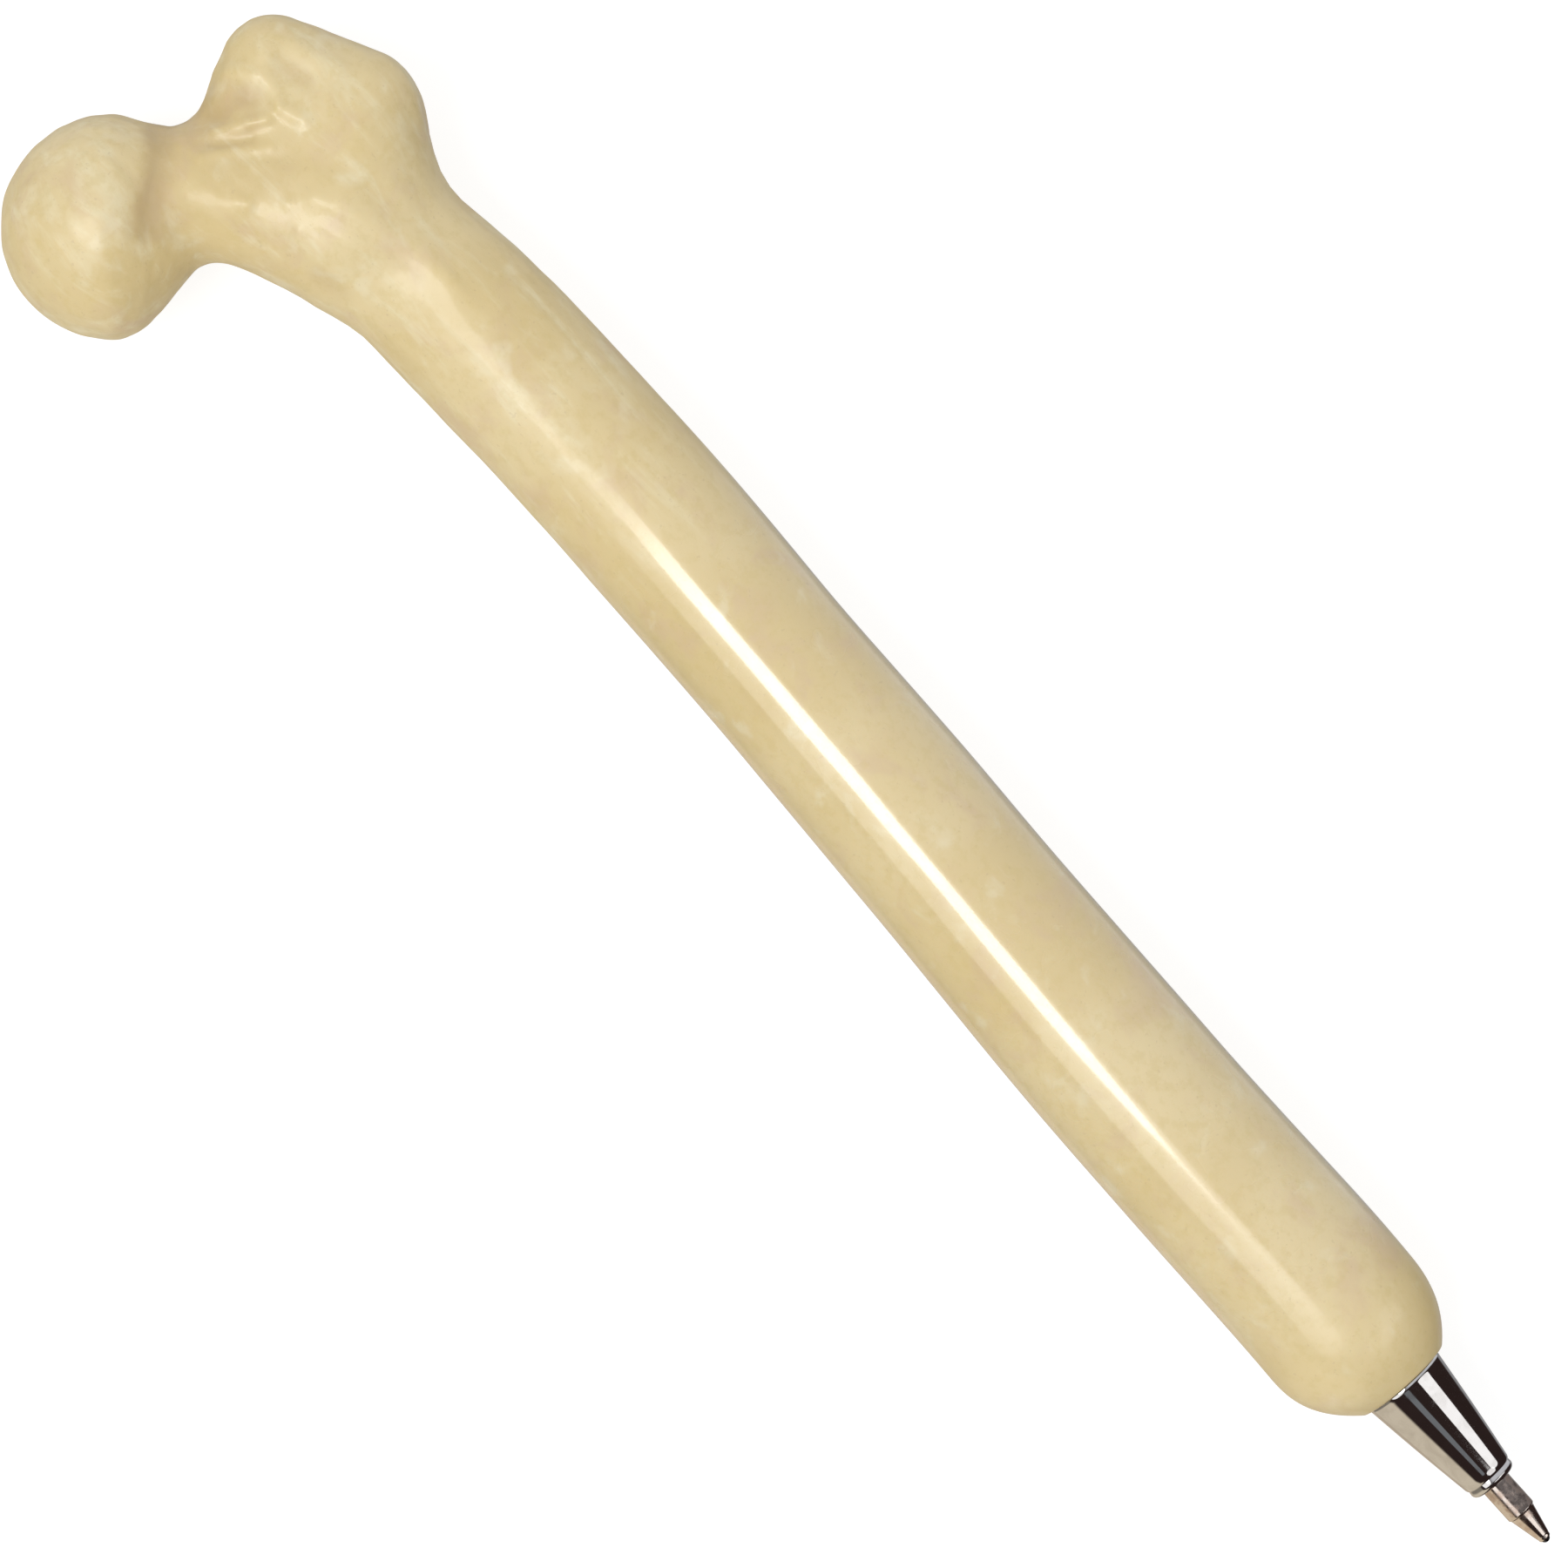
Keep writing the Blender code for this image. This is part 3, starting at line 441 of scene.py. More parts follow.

# %% [markdown]
# ## Hollows, for painted shade
#
# The hollows are painted browner: this is painted shade where shadow falls in them, with some of the
# brown wash that the finish leaves there. To find them, step a little way out along the normal and ask
# the field how far the bone is: in the open the answer is the length of the step, and in a hollow it is
# less.

# %% How hollow each point is
def hollowness(points, normals):
    """Mean over three steps of 1 - distance / step: 0 in the open, towards 1 in a crevice."""
    steps = (1.0, 2.5, 5.0)
    return sum(np.clip(1 - bone(points + normals * step) / step, 0, 1) for step in steps) / len(steps)


normals = ring_normals(rings) * outward
# Dents from the carved grooves and pits add to the hollowness, and so to the painted shade.
dents = np.clip(-relief(rings, normals[..., 2]) / 0.3, 0, 1)
hollow = np.clip(hollowness(rings, normals) * 1.6 + 0.35 * dents, 0, 1)
print("hollow points", round(float((hollow > 0.3).mean() * 100), 1), "percent")

# %% [markdown]
# ## The bore
#
# The barrel is drilled from its face: a countersunk mouth, a wide stretch for the threaded bush, and a
# narrow one for the liner. The rings simply carry on inwards from the mouth, so skin and bore are one
# closed surface with no Boolean.

# %% The barrel as one closed surface
PLAY = 0.06
MOUTH_EDGE = 3.55
BUSH_BORE = 3.16
liner_back, _, liner_radius = extent("liner_tube")
bush_back, bush_front, bush_radius = extent("thread_bush")
narrow = liner_radius + PLAY
bore_end = liner_back - PLAY
step_x = bush_back - PLAY
countersink = BUSH_BORE - MOUTH_EDGE               # as deep as it is wide, so it slopes at 45 degrees
bore = np.array([
    (bore_end, narrow * 0.02), (bore_end, narrow - 0.1), (bore_end + 0.1, narrow), (step_x - 0.1, narrow),
    (step_x, narrow + 0.1), (step_x, BUSH_BORE - 0.05), (step_x + 0.05, BUSH_BORE),
    (countersink - 0.05, BUSH_BORE), (countersink, BUSH_BORE), (-0.02, MOUTH_EDGE - 0.02),
    (0.0, MOUTH_EDGE), (0.0, FACE_RADIUS - 0.04),
])
around = np.linspace(0, math.tau, AROUND, endpoint=False)
inner = np.stack([
    np.repeat(bore[:, :1], AROUND, 1),
    bore[:, 1:] * np.cos(around),
    bore[:, 1:] * np.sin(around),
], -1)
barrel = piece_from_rings(
    "bone_casting", np.vstack([inner, rings]), "barrel", "bone_barrel", poles=True, sharp=50.0)
depth = barrel.data.attributes.new("hollow", "FLOAT", "POINT")
# The bore is given a fixed 0.6 of painted shade, and the pole of the head none.
in_bore, at_head = 0.6, 0.0
values = np.concatenate([np.full(inner.shape[:2], in_bore).ravel(), hollow.ravel(), [in_bore, at_head]])
depth.data.foreach_set("value", values.astype(np.float32))

# %% [markdown]
# ## Turned pieces
#
# The cone, the tip, the bush and the liner come off a lathe: an outline of distance along the axis and
# radius, carried round it. On real turned work every corner is broken by a tiny radius, and that thin
# bright line is most of what makes metal look like metal. So each corner of the outline is softened.

# %% Soft corners and turning
def softened(outline, size, steps=4):
    """The closed outline with each corner replaced by a short curve between points size away from it.

    The curve is the parabola (1-t)^2 * before + 2t(1-t) * corner + t^2 * after. One more point just
    outside each end of the curve holds the shading of the straight stretch beyond it flat.
    """
    corner = np.array(outline, float)
    size = np.broadcast_to(np.asarray(size, float), len(corner))[:, None]
    back, ahead = np.roll(corner, 1, 0) - corner, np.roll(corner, -1, 0) - corner
    back_length = np.linalg.norm(back, axis=1, keepdims=True)
    ahead_length = np.linalg.norm(ahead, axis=1, keepdims=True)
    before = corner + back / back_length * np.minimum(size, 0.4 * back_length)
    after = corner + ahead / ahead_length * np.minimum(size, 0.4 * ahead_length)
    t = np.linspace(0, 1, steps + 1)[:, None]
    curve = [(1 - s) ** 2 * before + 2 * s * (1 - s) * corner + s**2 * after for s in t]
    curve = [before + 0.2 * (before - corner), *curve, after + 0.2 * (after - corner)]
    return np.stack(curve, 1).reshape(-1, 2)


def turned_rings(x, radius):
    """Rings of points at (x, r sin a, r cos a); radius may differ round the ring."""
    columns = radius.shape[1]
    angle = np.linspace(0, math.tau, columns, endpoint=False)
    x = np.broadcast_to(x, radius.shape)
    return np.stack([x, radius * np.sin(angle), radius * np.cos(angle)], -1)


def turned(name, outline, body, replaces, columns=96, poles=False, sharp=40.0):
    """A piece of revolution from an outline of (x, radius)."""
    x, radius = outline[:, :1], np.repeat(outline[:, 1:], columns, 1)
    return piece_from_rings(name, turned_rings(x, radius), body, replaces, poles, sharp)


# %% [markdown]
# ## The screw thread
#
# A thread is a ridge that climbs one pitch for each turn. Seen as a function of place along the axis and
# angle round it, the radius is the root plus a trapezium wave: its phase is (distance / pitch) less
# (angle / full turn). The male thread fades out over half a turn at each end, as a die leaves it. The
# female thread in the bush is the same wave, wider by the play, so the two never touch.

# %% Sizes and shape of the thread
PITCH = 0.75
THREAD_DEPTH = 0.35
THREAD_PLAY = 0.07
CREST_HALF = 0.07
FOOT_HALF = 0.245
RELIEF = 0.9
MALE_TURNS = 6.5
REFILL_SPACE = 1.65
THREAD_ROOT = REFILL_SPACE + 0.6


def thread_height(x, angle, play, first, last, fade):
    """Height of the ridge over the root: a trapezium of the distance to the nearest turn's middle."""
    turn = (-RELIEF - x) / PITCH
    nearest = np.round(turn - angle / math.tau) + angle / math.tau
    away = np.abs(turn - nearest) * PITCH - play
    height = np.clip((FOOT_HALF - away) / (FOOT_HALF - CREST_HALF), 0, 1)
    ends = np.clip((nearest - first) / fade, 0, 1) * np.clip((last - nearest) / fade, 0, 1)
    return height * ends * (THREAD_DEPTH + play)


def threaded(outline, play, first, last, fade, columns):
    """Rings for an outline whose points flagged as threaded carry the ridge."""
    x, radius, carries = (outline[:, i : i + 1] for i in range(3))
    angle = np.linspace(0, math.tau, columns, endpoint=False)
    ridge = thread_height(x, angle, play, first, last, fade) * carries
    return turned_rings(x, radius + ridge)


# %% [markdown]
# ## The nose cone
#
# The cone is turned from brass and chrome plated. It screws into the barrel with a hollow spigot that the
# refill passes through. Its front edge is a full rounded lip, with a fine groove behind it where the
# polishing wheel stops, and its bore steps down to hold the refill's collar.

# %% Outline of the cone and its spigot
spigot_back, cone_front, _ = extent("nose_cone")
base_radius = 3.45
front_radius = 2.02
shoulder = 0.1
exit_radius = 1.37
step_inside = cone_front - 4.2
spigot_x = np.arange(spigot_back + 0.25, shoulder - 0.15, PITCH / 18)
before = [
    (spigot_back, REFILL_SPACE + 0.05), (spigot_back, THREAD_ROOT - 0.2), (spigot_back + 0.2, THREAD_ROOT),
]
root = np.stack([spigot_x, np.full(spigot_x.shape, THREAD_ROOT)], -1)
flare = [
    (shoulder - 0.02, THREAD_ROOT), (shoulder, THREAD_ROOT + 0.02), (shoulder, base_radius - 0.1),
    (shoulder + 0.03, base_radius - 0.03), (shoulder + 0.1, base_radius),
]
x = np.linspace(shoulder + 0.4, cone_front - 0.95, 24)
swell = 0.05 * np.sin(math.pi * (x - shoulder) / (cone_front - shoulder))
slope = (front_radius - base_radius) / (cone_front - 0.45)
side = np.stack([x, base_radius + slope * (x - shoulder) + swell], -1)
neckline = [(cone_front - 0.80, front_radius + 0.03), (cone_front - 0.74, front_radius - 0.04)]
lip = np.radians(np.linspace(88, 4, 14))
lip_size = 0.42
rounded = np.stack([
    cone_front - lip_size + lip_size * np.cos(lip),
    front_radius - lip_size + lip_size * np.sin(lip),
], -1)
after = [
    (cone_front, exit_radius + 0.06), (cone_front - 0.02, exit_radius + 0.02),
    (cone_front - 0.06, exit_radius), (step_inside + 0.03, exit_radius), (step_inside, exit_radius + 0.03),
    (step_inside, REFILL_SPACE - 0.03), (step_inside - 0.03, REFILL_SPACE),
    (spigot_back + 0.05, REFILL_SPACE),
]
outline = np.vstack([before, root, flare, side, neckline, rounded, after])
carries = np.zeros((len(outline), 1))
carries[len(before) : len(before) + len(root)] = 1
cone = piece_from_rings(
    "chrome_cone",
    threaded(np.hstack([outline, carries]), 0.0, 0.0, MALE_TURNS, 0.5, 120),
    "cone", "nose_cone", sharp=40.0)

# %% [markdown]
# ## The threaded bush
#
# A brass insert is set in the mould before the resin is poured. Two grooves round it key it in place. It
# only shows as a glint in the mouth once the cone is unscrewed, but the thread is there.

# %% The bush
female_root = THREAD_ROOT + THREAD_PLAY
open_radius = THREAD_ROOT + THREAD_DEPTH + THREAD_PLAY
GROOVE_DEPTH = 0.25
outside = [(bush_front, open_radius + 0.05), (bush_front, bush_radius)]
for share in (1 / 3, 2 / 3):
    middle = bush_front + (bush_back - bush_front) * share
    outside += [(middle + 0.4, bush_radius), (middle + 0.3, bush_radius - GROOVE_DEPTH)]
    outside += [(middle - 0.3, bush_radius - GROOVE_DEPTH), (middle - 0.4, bush_radius)]
outside += [(bush_back, bush_radius), (bush_back, female_root + 0.05)]
outside = softened(outside, 0.05, 2)[3:-3]
inside_x = np.arange(bush_back + 0.08, bush_front - 0.9, PITCH / 16)
inside = np.stack([inside_x, np.full(inside_x.shape, female_root)], -1)
open_end = [
    (bush_front - 0.85, female_root), (bush_front - 0.5, open_radius), (bush_front - 0.05, open_radius),
]
outline = np.vstack([outside, inside, open_end])
carries = np.zeros((len(outline), 1))
carries[len(outside) : len(outside) + len(inside)] = 1
bush = piece_from_rings(
    "brass_bush",
    threaded(np.hstack([outline, carries]), THREAD_PLAY, -0.5, MALE_TURNS + 0.8, 0.02, 96),
    "barrel", "thread_bush", sharp=40.0)

# %% [markdown]
# ## The liner, the refill and its ink
#
# A plastic tube, closed at its far end, keeps the resin out of the refill's space. The refill is a thin
# clear tube pressed on the tail of a metal tip, with the paste-like ink as a column behind it. The back of
# the ink is hollow, as paste that has been drawn forward is.

# %% Liner, tube and ink
back, front, radius = extent("liner_tube")
WALL, CLOSED = 0.7, 0.02
outline = [
    (back + WALL, CLOSED), (back + WALL, radius - WALL), (front, radius - WALL), (front, radius),
    (back, radius), (back, CLOSED),
]
liner = turned("white_liner", softened(outline, 0.12)[4:-4], "barrel", "liner_tube", 64, poles=True)

back, front, radius = extent("refill_tube")
outline = [(front, radius - 0.5), (front, radius), (back, radius), (back, radius - 0.5)]
tube = turned("clear_tube", softened(outline, 0.08), "refill", "refill_tube", 64)

back, front, radius = extent("refill_ink")
share = np.linspace(0, 1, 12)
hollow_back = np.stack([back + 0.9 * np.sqrt(1 - share**2), CLOSED + (radius - CLOSED) * share], -1)
column = np.vstack([hollow_back, [(back + 0.3, radius), (front, radius), (front, CLOSED)]])
ink = turned("ink_column", column, "refill", "refill_ink", 48, poles=True)

# %% [markdown]
# ## The metal tip and its ball
#
# The tip is turned from nickel silver: a collar that bears inside the cone, a cylinder that fills the
# exit hole, a small step, and a long taper. At its end the rim is rolled over the ball, a sphere of
# tungsten carbide that carries the ink to the paper. The rolled rim shows as one fine bright ring.

# %% Tip and ball
back, front, collar_radius = extent("refill_tip")
ball_radius = 0.4
cup = 0.43
channel = 0.35
tip_radius = 1.22
collar_front = step_inside - 0.05
tip_shoulder = cone_front + 3.0
tail = collar_radius - 0.55
rim_ahead = 0.12
rim_x = BALL_X + rim_ahead
opening = math.acos(rim_ahead / cup)
rim_radius = cup * math.sin(opening)
corners = [
    (back, channel), (back, tail), (collar_front - 0.9, tail), (collar_front - 0.9, collar_radius),
    (collar_front, collar_radius), (collar_front, tip_radius), (tip_shoulder, tip_radius),
    (tip_shoulder + 0.12, tip_radius - 0.12), (rim_x - 0.36, rim_radius + 0.15),
    (rim_x - 0.30, rim_radius + 0.12), (rim_x - 0.08, rim_radius + 0.09), (rim_x, rim_radius + 0.01),
]
sizes = [0.05, 0.1, 0.05, 0.1, 0.1, 0.03, 0.05, 0.03, 0.03, 0.03, 0.05, 0.02]
angle = np.linspace(opening, math.pi - math.asin(channel / cup), 12)[1:]
seat = np.stack([BALL_X + cup * np.cos(angle), cup * np.sin(angle)], -1)
curved = softened(corners + [tuple(seat[0])], sizes + [0.001], 4)[:-7]
tip = turned("metal_tip", np.vstack([curved, seat]), "refill", "refill_tip", 96)

angle = np.linspace(0, math.pi, 34)[1:-1]
sphere = np.stack([BALL_X + ball_radius * np.cos(angle), ball_radius * np.sin(angle)], -1)
ball = turned("writing_ball", sphere, "ball", "tip_ball", 64, poles=True, sharp=60.0)
print("tip from", round(back, 1), "to", round(front, 2), "mm")

# %% [markdown]
# ## Materials from nodes
#
# A small helper keeps the node trees short: it adds a node, sets its values, and joins its inputs. Noise
# is read in Object coordinates, which are metres here, so a scale of 200 means marks about 5 mm across.

# %% A helper for node trees
class Tree:
    """Short words for building a material: node() adds one, and inputs may be numbers or other sockets."""

    def __init__(self, name, colour, roughness, metallic=0.0):
        self.material = bpy.data.materials.new(name)
        self.material.use_nodes = True
        self.nodes = self.material.node_tree.nodes
        self.shader = self.nodes["Principled BSDF"]
        self.set(self.shader, Roughness=roughness, Metallic=metallic)
        self.shader.inputs["Base Color"].default_value = (*colour, 1)
        self.place = self.node("ShaderNodeTexCoord").outputs["Object"]

    def set(self, node, **values):
        for key, value in values.items():
            self.join(node.inputs[key.replace("_", " ")], value)

    def join(self, socket, value):
        if isinstance(value, bpy.types.NodeSocket):
            self.material.node_tree.links.new(value, socket)
        elif isinstance(value, tuple) and len(value) == 3 and socket.type == "RGBA":
            socket.default_value = (*value, 1)
        else:
            socket.default_value = value

    def node(self, kind, inputs=None, **settings):
        made = self.nodes.new(kind)
        for key, value in settings.items():
            setattr(made, key, value)
        for key, value in (inputs or {}).items():
            self.join(made.inputs[key], value)
        return made

    def noise(self, scale, detail=3.0, roughness=0.5, distortion=0.0, vector=None):
        """Soft random values about 0.5."""
        return self.node("ShaderNodeTexNoise", {
            "Vector": vector or self.place, "Scale": scale, "Detail": detail, "Roughness": roughness,
            "Distortion": distortion}).outputs["Fac"]

    def spread(self, value, low, high, to_low=0.0, to_high=1.0):
        """Moves values between low and high onto the new range, and stops at its ends."""
        return self.node("ShaderNodeMapRange", {
            "Value": value, "From Min": low, "From Max": high, "To Min": to_low, "To Max": to_high},
            interpolation_type="SMOOTHSTEP").outputs["Result"]

    def mix(self, share, first, second):
        """A colour between two others."""
        made = self.node("ShaderNodeMix", data_type="RGBA")
        for socket, value in zip((made.inputs[0], made.inputs[6], made.inputs[7]), (share, first, second)):
            self.join(socket, value)
        return made.outputs[2]

    def math(self, operation, first, second=0.0):
        return self.node("ShaderNodeMath", {0: first, 1: second}, operation=operation).outputs[0]

    def stretched(self, x, y, z):
        """Object coordinates scaled along each axis, which draws a pattern out along the small one."""
        return self.node("ShaderNodeMapping", {"Vector": self.place, "Scale": (x, y, z)}).outputs["Vector"]

    def bump(self, height, distance, strength=1.0):
        made = self.node("ShaderNodeBump", {"Height": height, "Distance": distance, "Strength": strength})
        self.join(self.shader.inputs["Normal"], made.outputs["Normal"])


# %% [markdown]
# ## Cast resin
#
# The casting is cream polyester with a wet gloss. The colour isn't even: it drifts between butter and
# ivory over a centimetre, with faint pinkish tan clouds where the pigment settled, and fine specks. Its
# hollows and bore are painted browner: painted shade, with some of the brown wash of the finish. At the
# top end paler grain runs along the bone. Light goes a millimetre or so into the resin, so it has some
# subsurface. The gloss is broken by shallow ripples from the mould and by dust-fine pits. It is a clear
# coat on the shaft, and it is nearly gone at the top end and where fingers hold the mouth, so both are
# duller.

# %% The casting's material
TOP_FADES = (AXIS[0] - 0.092, AXIS[0] - 0.078)      # the top end's dullness ends between these places
MOUTH_FADES = (AXIS[0] - 0.013, AXIS[0] - 0.005)    # and the mouth's begins between these


def cast_resin():
    m = Tree("cast_resin", (0.76, 0.62, 0.33), 0.2)
    drift = m.spread(m.noise(70.0, 2.0), 0.35, 0.65)
    colour = m.mix(drift, (0.745, 0.590, 0.295), (0.800, 0.655, 0.365))
    cloud = m.spread(m.noise(210.0, 4.0, 0.55, 0.6), 0.50, 0.72, 0.0, 0.5)
    colour = m.mix(cloud, colour, (0.700, 0.515, 0.320))
    pale = m.spread(m.noise(330.0, 3.0, 0.5, 0.4), 0.56, 0.75, 0.0, 0.5)
    colour = m.mix(pale, colour, (0.860, 0.770, 0.530))
    along = m.node("ShaderNodeSeparateXYZ", {0: m.place}).outputs["X"]
    top = m.spread(along, *TOP_FADES, 1.0, 0.0)
    dull = m.math("ADD", top, m.spread(along, *MOUTH_FADES, 0.0, 0.75))
    grain = m.spread(m.noise(1.0, 4.0, 0.6, 0.5, m.stretched(110, 520, 520)), 0.48, 0.76, 0.0, 0.75)
    colour = m.mix(m.math("MULTIPLY", grain, top), colour, (0.860, 0.760, 0.500))
    mottle = m.spread(m.noise(950.0, 4.0, 0.65), 0.45, 0.68, 0.0, 0.36)
    colour = m.mix(mottle, colour, (0.690, 0.540, 0.230))
    speck = m.spread(m.noise(2600.0, 2.0), 0.66, 0.74, 0.0, 0.25)
    colour = m.mix(speck, colour, (0.560, 0.420, 0.230))
    # Painted shade: the hollow attribute browns the hollows and the bore, mixed with some of the brown wash
    # of the finish.
    hollow = m.node("ShaderNodeAttribute", attribute_name="hollow").outputs["Fac"]
    shade_and_wash = m.spread(m.math("ADD", hollow, m.math("MULTIPLY", m.noise(500.0, 4.0), 0.2)), 0.28, 1.0, 0.0, 0.5)
    colour = m.mix(shade_and_wash, colour, (0.500, 0.350, 0.170))
    gloss = m.spread(m.noise(160.0, 3.0), 0.3, 0.7, 0.20, 0.30)
    ripple = m.noise(420.0, 2.0)
    pits = m.spread(m.noise(5200.0, 2.0), 0.60, 0.70)
    height = m.math("SUBTRACT", m.math("MULTIPLY", ripple, 0.6), m.math("MULTIPLY", pits, 0.25))
    m.bump(height, 0.00004, 0.35)
    m.set(m.shader, Base_Color=colour, Roughness=m.math("ADD", gloss, m.math("MULTIPLY", dull, 0.17)),
          Coat_Weight=m.math("SUBTRACT", 1.0, m.math("MULTIPLY", dull, 0.90)), IOR=1.5,
          Coat_Roughness=0.09, Coat_IOR=1.6, Subsurface_Weight=0.10, Subsurface_Scale=0.0010)
    m.shader.inputs["Subsurface Radius"].default_value = (1.0, 0.7, 0.4)
    return m.material


# %% [markdown]
# ## Plated, turned and moulded finishes
#
# Chrome plate is a near mirror, so almost all of its look is what it reflects. Hairlines round the cone
# from the polishing wheel and a few faint smears keep it from looking computed. The tip is softer metal
# with faint turning marks and a coppery tint. The marks are a wave along the axis: stretched noise that
# is short along X and long round the piece.

# %% Metals and plastics
def chrome():
    m = Tree("chrome_plate", (0.62, 0.61, 0.60), 0.06, 1.0)
    marks = m.noise(1.0, 3.0, 0.6, vector=m.stretched(9000, 260, 260))
    smear = m.noise(520.0, 4.0, 0.6, 0.8)
    tint = m.mix(m.spread(smear, 0.35, 0.7), (0.640, 0.630, 0.625), (0.560, 0.545, 0.535))
    rough = m.math("ADD", m.spread(smear, 0.45, 0.8, 0.035, 0.13), m.math("MULTIPLY", marks, 0.03))
    m.set(m.shader, Base_Color=tint, Roughness=rough)
    m.bump(marks, 0.000004, 0.15)
    return m.material


def nickel_silver():
    m = Tree("nickel_silver", (0.66, 0.58, 0.52), 0.16, 1.0)
    marks = m.noise(1.0, 2.0, 0.7, vector=m.stretched(14000, 500, 500))
    tarnish = m.spread(m.noise(900.0, 4.0, 0.6), 0.42, 0.68)
    m.set(m.shader, Base_Color=m.mix(tarnish, (0.700, 0.630, 0.575), (0.560, 0.440, 0.370)),
          Roughness=m.spread(tarnish, 0.0, 1.0, 0.11, 0.24))
    m.bump(marks, 0.000008, 0.05)
    return m.material


def brass():
    m = Tree("turned_brass", (0.72, 0.52, 0.22), 0.28, 1.0)
    marks = m.noise(1.0, 2.0, 0.6, vector=m.stretched(9000, 300, 300))
    dull = m.spread(m.noise(600.0, 4.0), 0.4, 0.7)
    m.set(m.shader, Base_Color=m.mix(dull, (0.760, 0.560, 0.260), (0.480, 0.320, 0.140)),
          Roughness=m.spread(dull, 0.0, 1.0, 0.22, 0.42))
    m.bump(marks, 0.00001, 0.2)
    return m.material


def carbide():
    m = Tree("carbide", (0.12, 0.12, 0.13), 0.2, 1.0)
    grain = m.noise(30000.0, 2.0)
    film = m.spread(m.noise(4000.0, 3.0), 0.4, 0.65)
    m.set(m.shader, Base_Color=m.mix(film, (0.150, 0.150, 0.160), (0.045, 0.045, 0.060)),
          Roughness=m.spread(film, 0.0, 1.0, 0.15, 0.38))
    m.bump(grain, 0.000002, 0.4)
    return m.material


def white_plastic():
    m = Tree("white_liner", (0.80, 0.80, 0.78), 0.42)
    drawn = m.noise(1.0, 3.0, vector=m.stretched(40, 1800, 1800))
    colour = m.mix(m.spread(drawn, 0.35, 0.65), (0.780, 0.780, 0.750), (0.840, 0.840, 0.830))
    m.set(m.shader, Base_Color=colour, Roughness=m.spread(drawn, 0.3, 0.7, 0.36, 0.5))
    m.bump(drawn, 0.00002, 0.4)
    return m.material


def clear_plastic():
    m = Tree("clear_tube", (0.90, 0.93, 0.95), 0.08)
    drawn = m.noise(1.0, 3.0, vector=m.stretched(60, 2200, 2200))
    m.set(m.shader, Roughness=m.spread(drawn, 0.3, 0.7, 0.05, 0.14), Transmission_Weight=0.85, IOR=1.49)
    m.bump(drawn, 0.00001, 0.3)
    return m.material


def ink_paste():
    m = Tree("ink", (0.01, 0.01, 0.02), 0.3)
    film = m.noise(1200.0, 3.0)
    m.set(m.shader, Base_Color=m.mix(m.spread(film, 0.4, 0.65), (0.006, 0.007, 0.020), (0.018, 0.018, 0.045)),
          Roughness=m.spread(film, 0.3, 0.7, 0.18, 0.4))
    m.bump(film, 0.00003, 0.5)
    return m.material


for piece, make, slot in (
    (barrel, cast_resin, "cast_resin"), (liner, white_plastic, "white_plastic"), (bush, brass, "brass"),
    (cone, chrome, "chrome"), (tube, clear_plastic, "clear_plastic"), (ink, ink_paste, "ink"),
    (tip, nickel_silver, "nickel_silver"), (ball, carbide, "carbide"),
):
    piece.data.materials.append(make())
print("finished", len(bpy.data.materials), "materials")

# %% [markdown]
# ## The studio
#
# The pen lies on a white sheet. One oval soft box is the key light, and its reflection is the long streak
# on the shaft. Cards that only show in reflections put the bright bands on the cone and the tip: such a
# card is an area lamp hidden from diffuse rays. The sheet gives the camera a bright white and lights the
# pen more softly, because its glow depends on the kind of ray that meets it.

# %% The sheet of paper it lies on
PAPER_GLOW = 0.32
PAPER_SEEN_GLOW = 0.80
SHEET_SIZE = 8.0


def paper():
    m = Tree("paper_white", (0.90, 0.90, 0.90), 0.9)
    fibre = m.noise(900.0, 4.0)
    seen = m.node("ShaderNodeLightPath").outputs["Is Camera Ray"]
    m.set(m.shader, Base_Color=m.mix(fibre, (0.340, 0.340, 0.340), (0.360, 0.360, 0.360)),
          Specular_IOR_Level=0.1, Emission_Color=(1.0, 1.0, 1.0),
          Emission_Strength=m.spread(seen, 0.0, 1.0, PAPER_GLOW, PAPER_SEEN_GLOW))
    return m.material


bpy.ops.mesh.primitive_plane_add(size=SHEET_SIZE, location=(0, 0, 0))
floor = bpy.context.object
floor.name = "sheet_of_paper"
floor.data.materials.append(paper())
floor.visible_glossy = False
floor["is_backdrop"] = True


# %% Soft boxes
def soft_box(name, direction, distance, size, length, brightness, colour=(1.0, 1.0, 1.0)):
    """An oval lamp seen from the pen in a direction; its length runs along X.

    A flat lamp that gives off P watts from an area A looks P / (pi A) bright, so P = pi A brightness,
    and the area of an oval is pi / 4 of the rectangle round it.
    """
    lamp = bpy.data.lights.new(name, "AREA")
    lamp.shape = "ELLIPSE"
    lamp.size, lamp.size_y = length, size
    lamp.energy = math.pi * (math.pi / 4 * size * length) * brightness
    lamp.color = colour
    made = bpy.data.objects.new(name, lamp)
    toward = np.array(direction, float)
    toward /= np.linalg.norm(toward)
    made.location = toward * distance
    across = np.array([1.0, 0.0, 0.0]) - toward * toward[0]
    across /= np.linalg.norm(across)
    up = np.cross(toward, across)
    turn = np.stack([across, up, toward], 1)
    made.rotation_euler = Matrix(turn.tolist()).to_euler()
    bpy.context.scene.collection.objects.link(made)
    return made


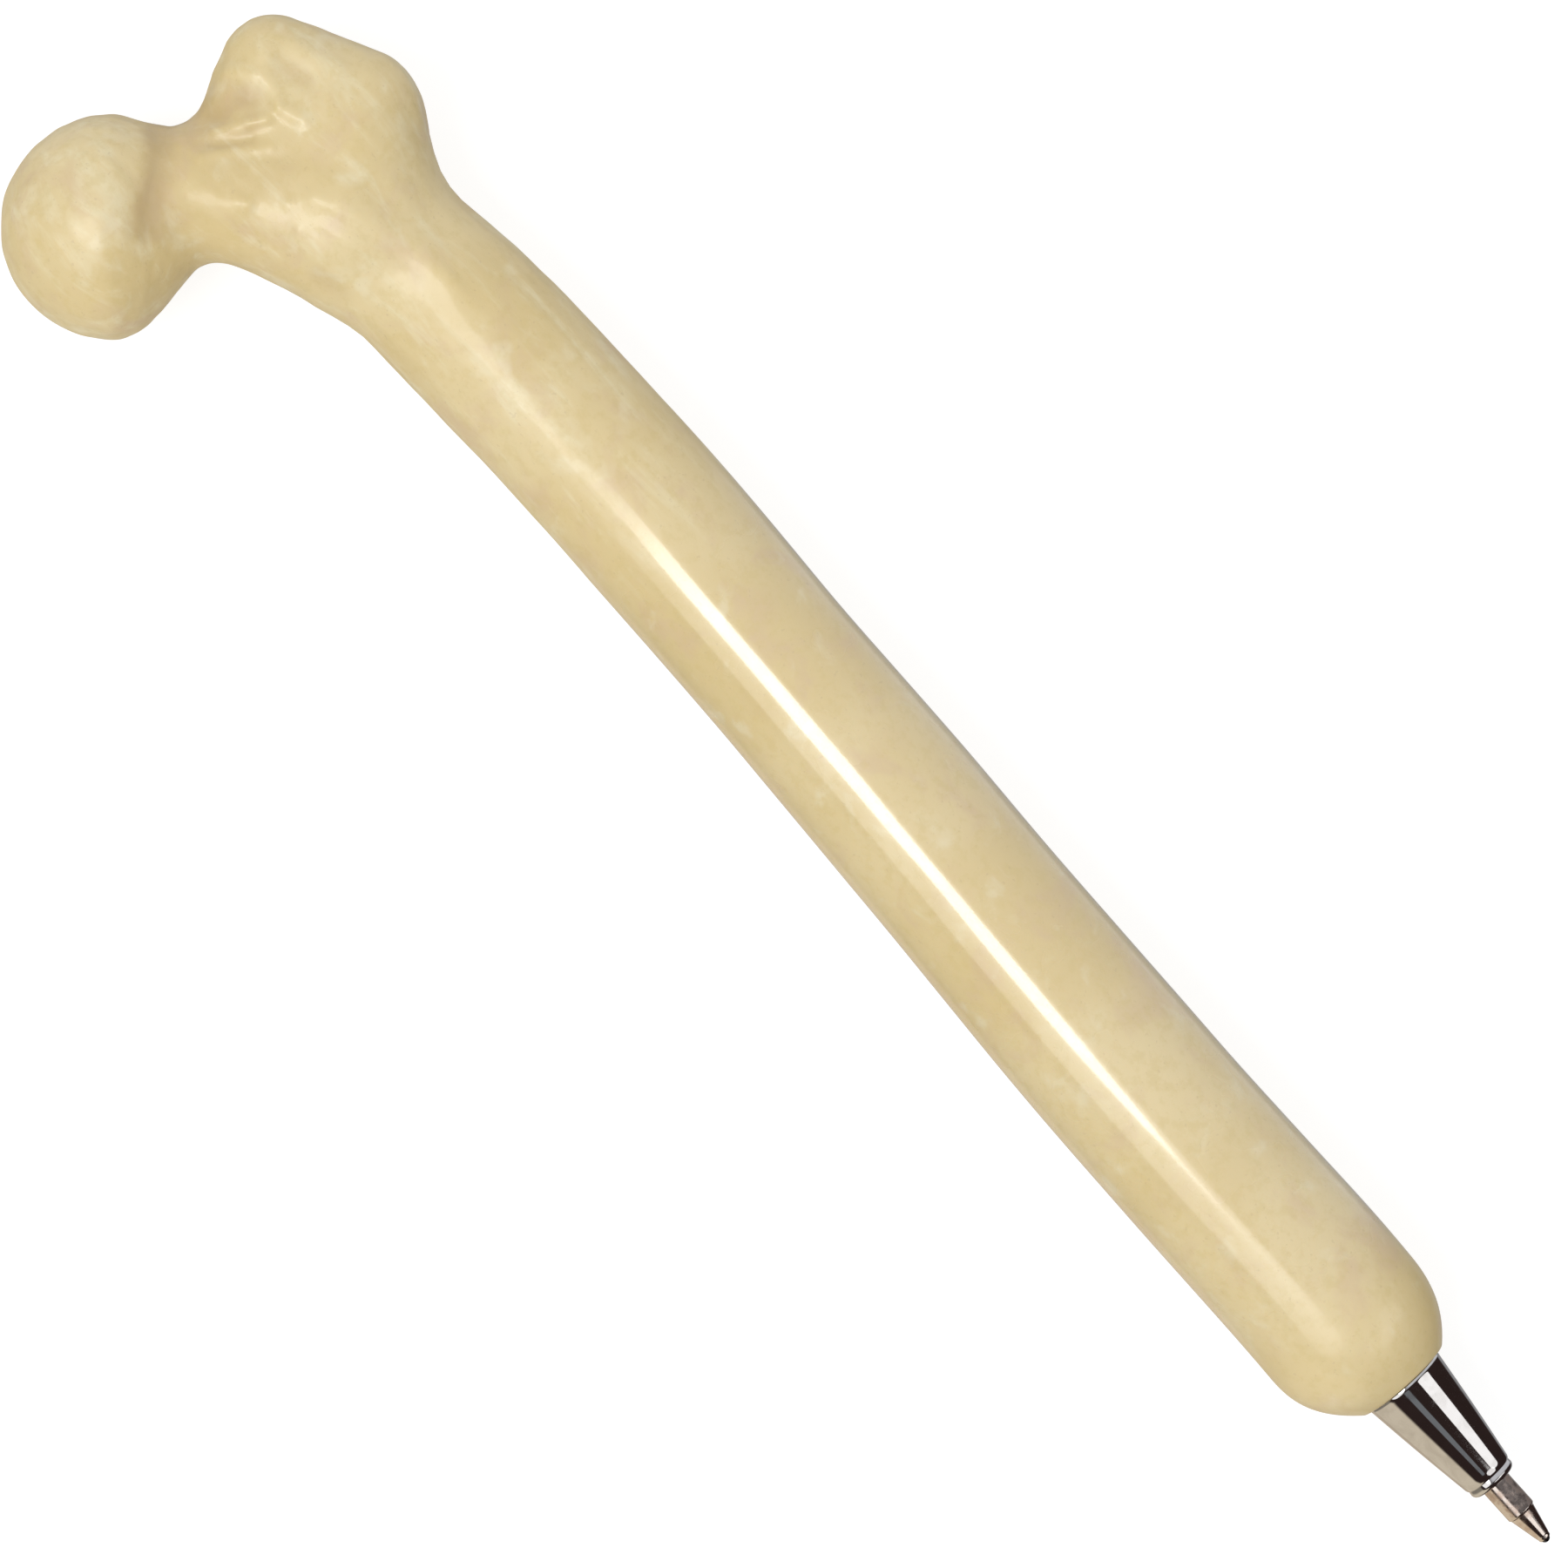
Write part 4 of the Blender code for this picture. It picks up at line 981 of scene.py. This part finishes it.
soft_box("key_strip", (-0.127, -0.336, 0.835), 0.909, 0.33, 0.500, 7.4)
for card in (
    soft_box("near_card", (-0.085, -0.537, 0.843), 1.05, 0.84, 0.90, 1.3),
    soft_box("far_card", (0.50, 0.72, 0.66), 1.05, 0.70, 0.34, 1.4),
    soft_box("tip_card", (0.68, 0.30, 0.80), 1.09, 0.72, 0.33, 1.3),
    soft_box("sky_card", (0.43, -0.20, 0.80), 0.93, 0.24, 0.16, 0.22, (0.80, 0.92, 1.0)),
):
    card.visible_diffuse = False

# %% [markdown]
# ## The room
#
# Chrome is a near mirror, so it shows whatever stands round it. The world background plays that part, and
# its colour depends on the kind of ray. The camera sees a plain pale grey. Diffuse rays meet an even soft
# light. Glossy rays meet a dark studio with a tan wall low on one side and a pale veil on the other, both
# worked out from the direction of the ray.

# %% The room
world = bpy.data.worlds.new("studio")
bpy.context.scene.world = world
world.use_nodes = True
world.cycles.sampling_method = "NONE"
nodes, links = world.node_tree.nodes, world.node_tree.links
rays = nodes.new("ShaderNodeLightPath")
where = nodes.new("ShaderNodeSeparateXYZ")
links.new(nodes.new("ShaderNodeTexCoord").outputs["Generated"], where.inputs[0])


def world_mix(share, first, second):
    """A colour between two others, each a colour or a socket."""
    made = nodes.new("ShaderNodeMix")
    made.data_type = "RGBA"
    for socket, value in zip((made.inputs[0], made.inputs[6], made.inputs[7]), (share, first, second)):
        if isinstance(value, tuple):
            socket.default_value = (*value, 1)
        else:
            links.new(value, socket)
    return made.outputs[2]


def world_share(axis, low, high):
    """0 to 1 as the direction's part along an axis goes from low to high."""
    made = nodes.new("ShaderNodeMapRange")
    made.interpolation_type = "SMOOTHSTEP"
    made.inputs["From Min"].default_value = low
    made.inputs["From Max"].default_value = high
    links.new(where.outputs[axis], made.inputs["Value"])
    return made.outputs["Result"]


DARK = (0.035, 0.022, 0.020)
SOFT_LIGHT = (0.66, 0.66, 0.66)
BACKDROP = (0.90, 0.90, 0.90)
veil = world_mix(world_share("X", 0.12, 0.17), (0.75, 0.76, 0.80), DARK)
high = world_mix(world_share("Y", -0.35, 0.05), DARK, veil)
tan = world_mix(world_share("X", 0.10, 0.17), (0.30, 0.27, 0.22), (0.82, 0.72, 0.56))
low = world_mix(world_share("Y", -0.55, -0.35), tan, high)
room = world_mix(world_share("Z", 0.36, 0.50), low, high)
ground = world_mix(world_share("Y", -0.3, 0.3), (0.62, 0.52, 0.40), (0.35, 0.35, 0.36))
room = world_mix(world_share("Z", -0.68, -0.80), room, ground)
soft = world_mix(rays.outputs["Is Glossy Ray"], SOFT_LIGHT, room)
seen = world_mix(rays.outputs["Is Camera Ray"], soft, BACKDROP)
links.new(seen, nodes["Background"].inputs["Color"])
bpy.context.scene.view_settings.view_transform = "Standard"

# %% [markdown]
# ## The camera
#
# The pen is seen from straight above through a long lens, lying diagonally across the frame with its tip
# at the lower right. A long lens keeps the bone's proportions true.

# %% Camera straight above
FRAME_WIDTH = 0.120
LENS = 135.0
SENSOR = 36.0
AIM = np.array([-0.00395, 0.00142])
TURN = math.radians(47.9)
camera = bpy.data.cameras.new("camera")
camera.lens = LENS
camera.sensor_width = SENSOR
camera.clip_start = 0.01
view = bpy.data.objects.new("camera", camera)
view.location = (AIM[0], AIM[1], FRAME_WIDTH * LENS / SENSOR + AXIS[2])
view.rotation_euler = (0, 0, TURN)
bpy.context.scene.collection.objects.link(view)
bpy.context.scene.camera = view

# %% Sizes, and the end
sizes = {"cad": cad_box, "visual": [list(corner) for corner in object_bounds()]}
print(sizes)
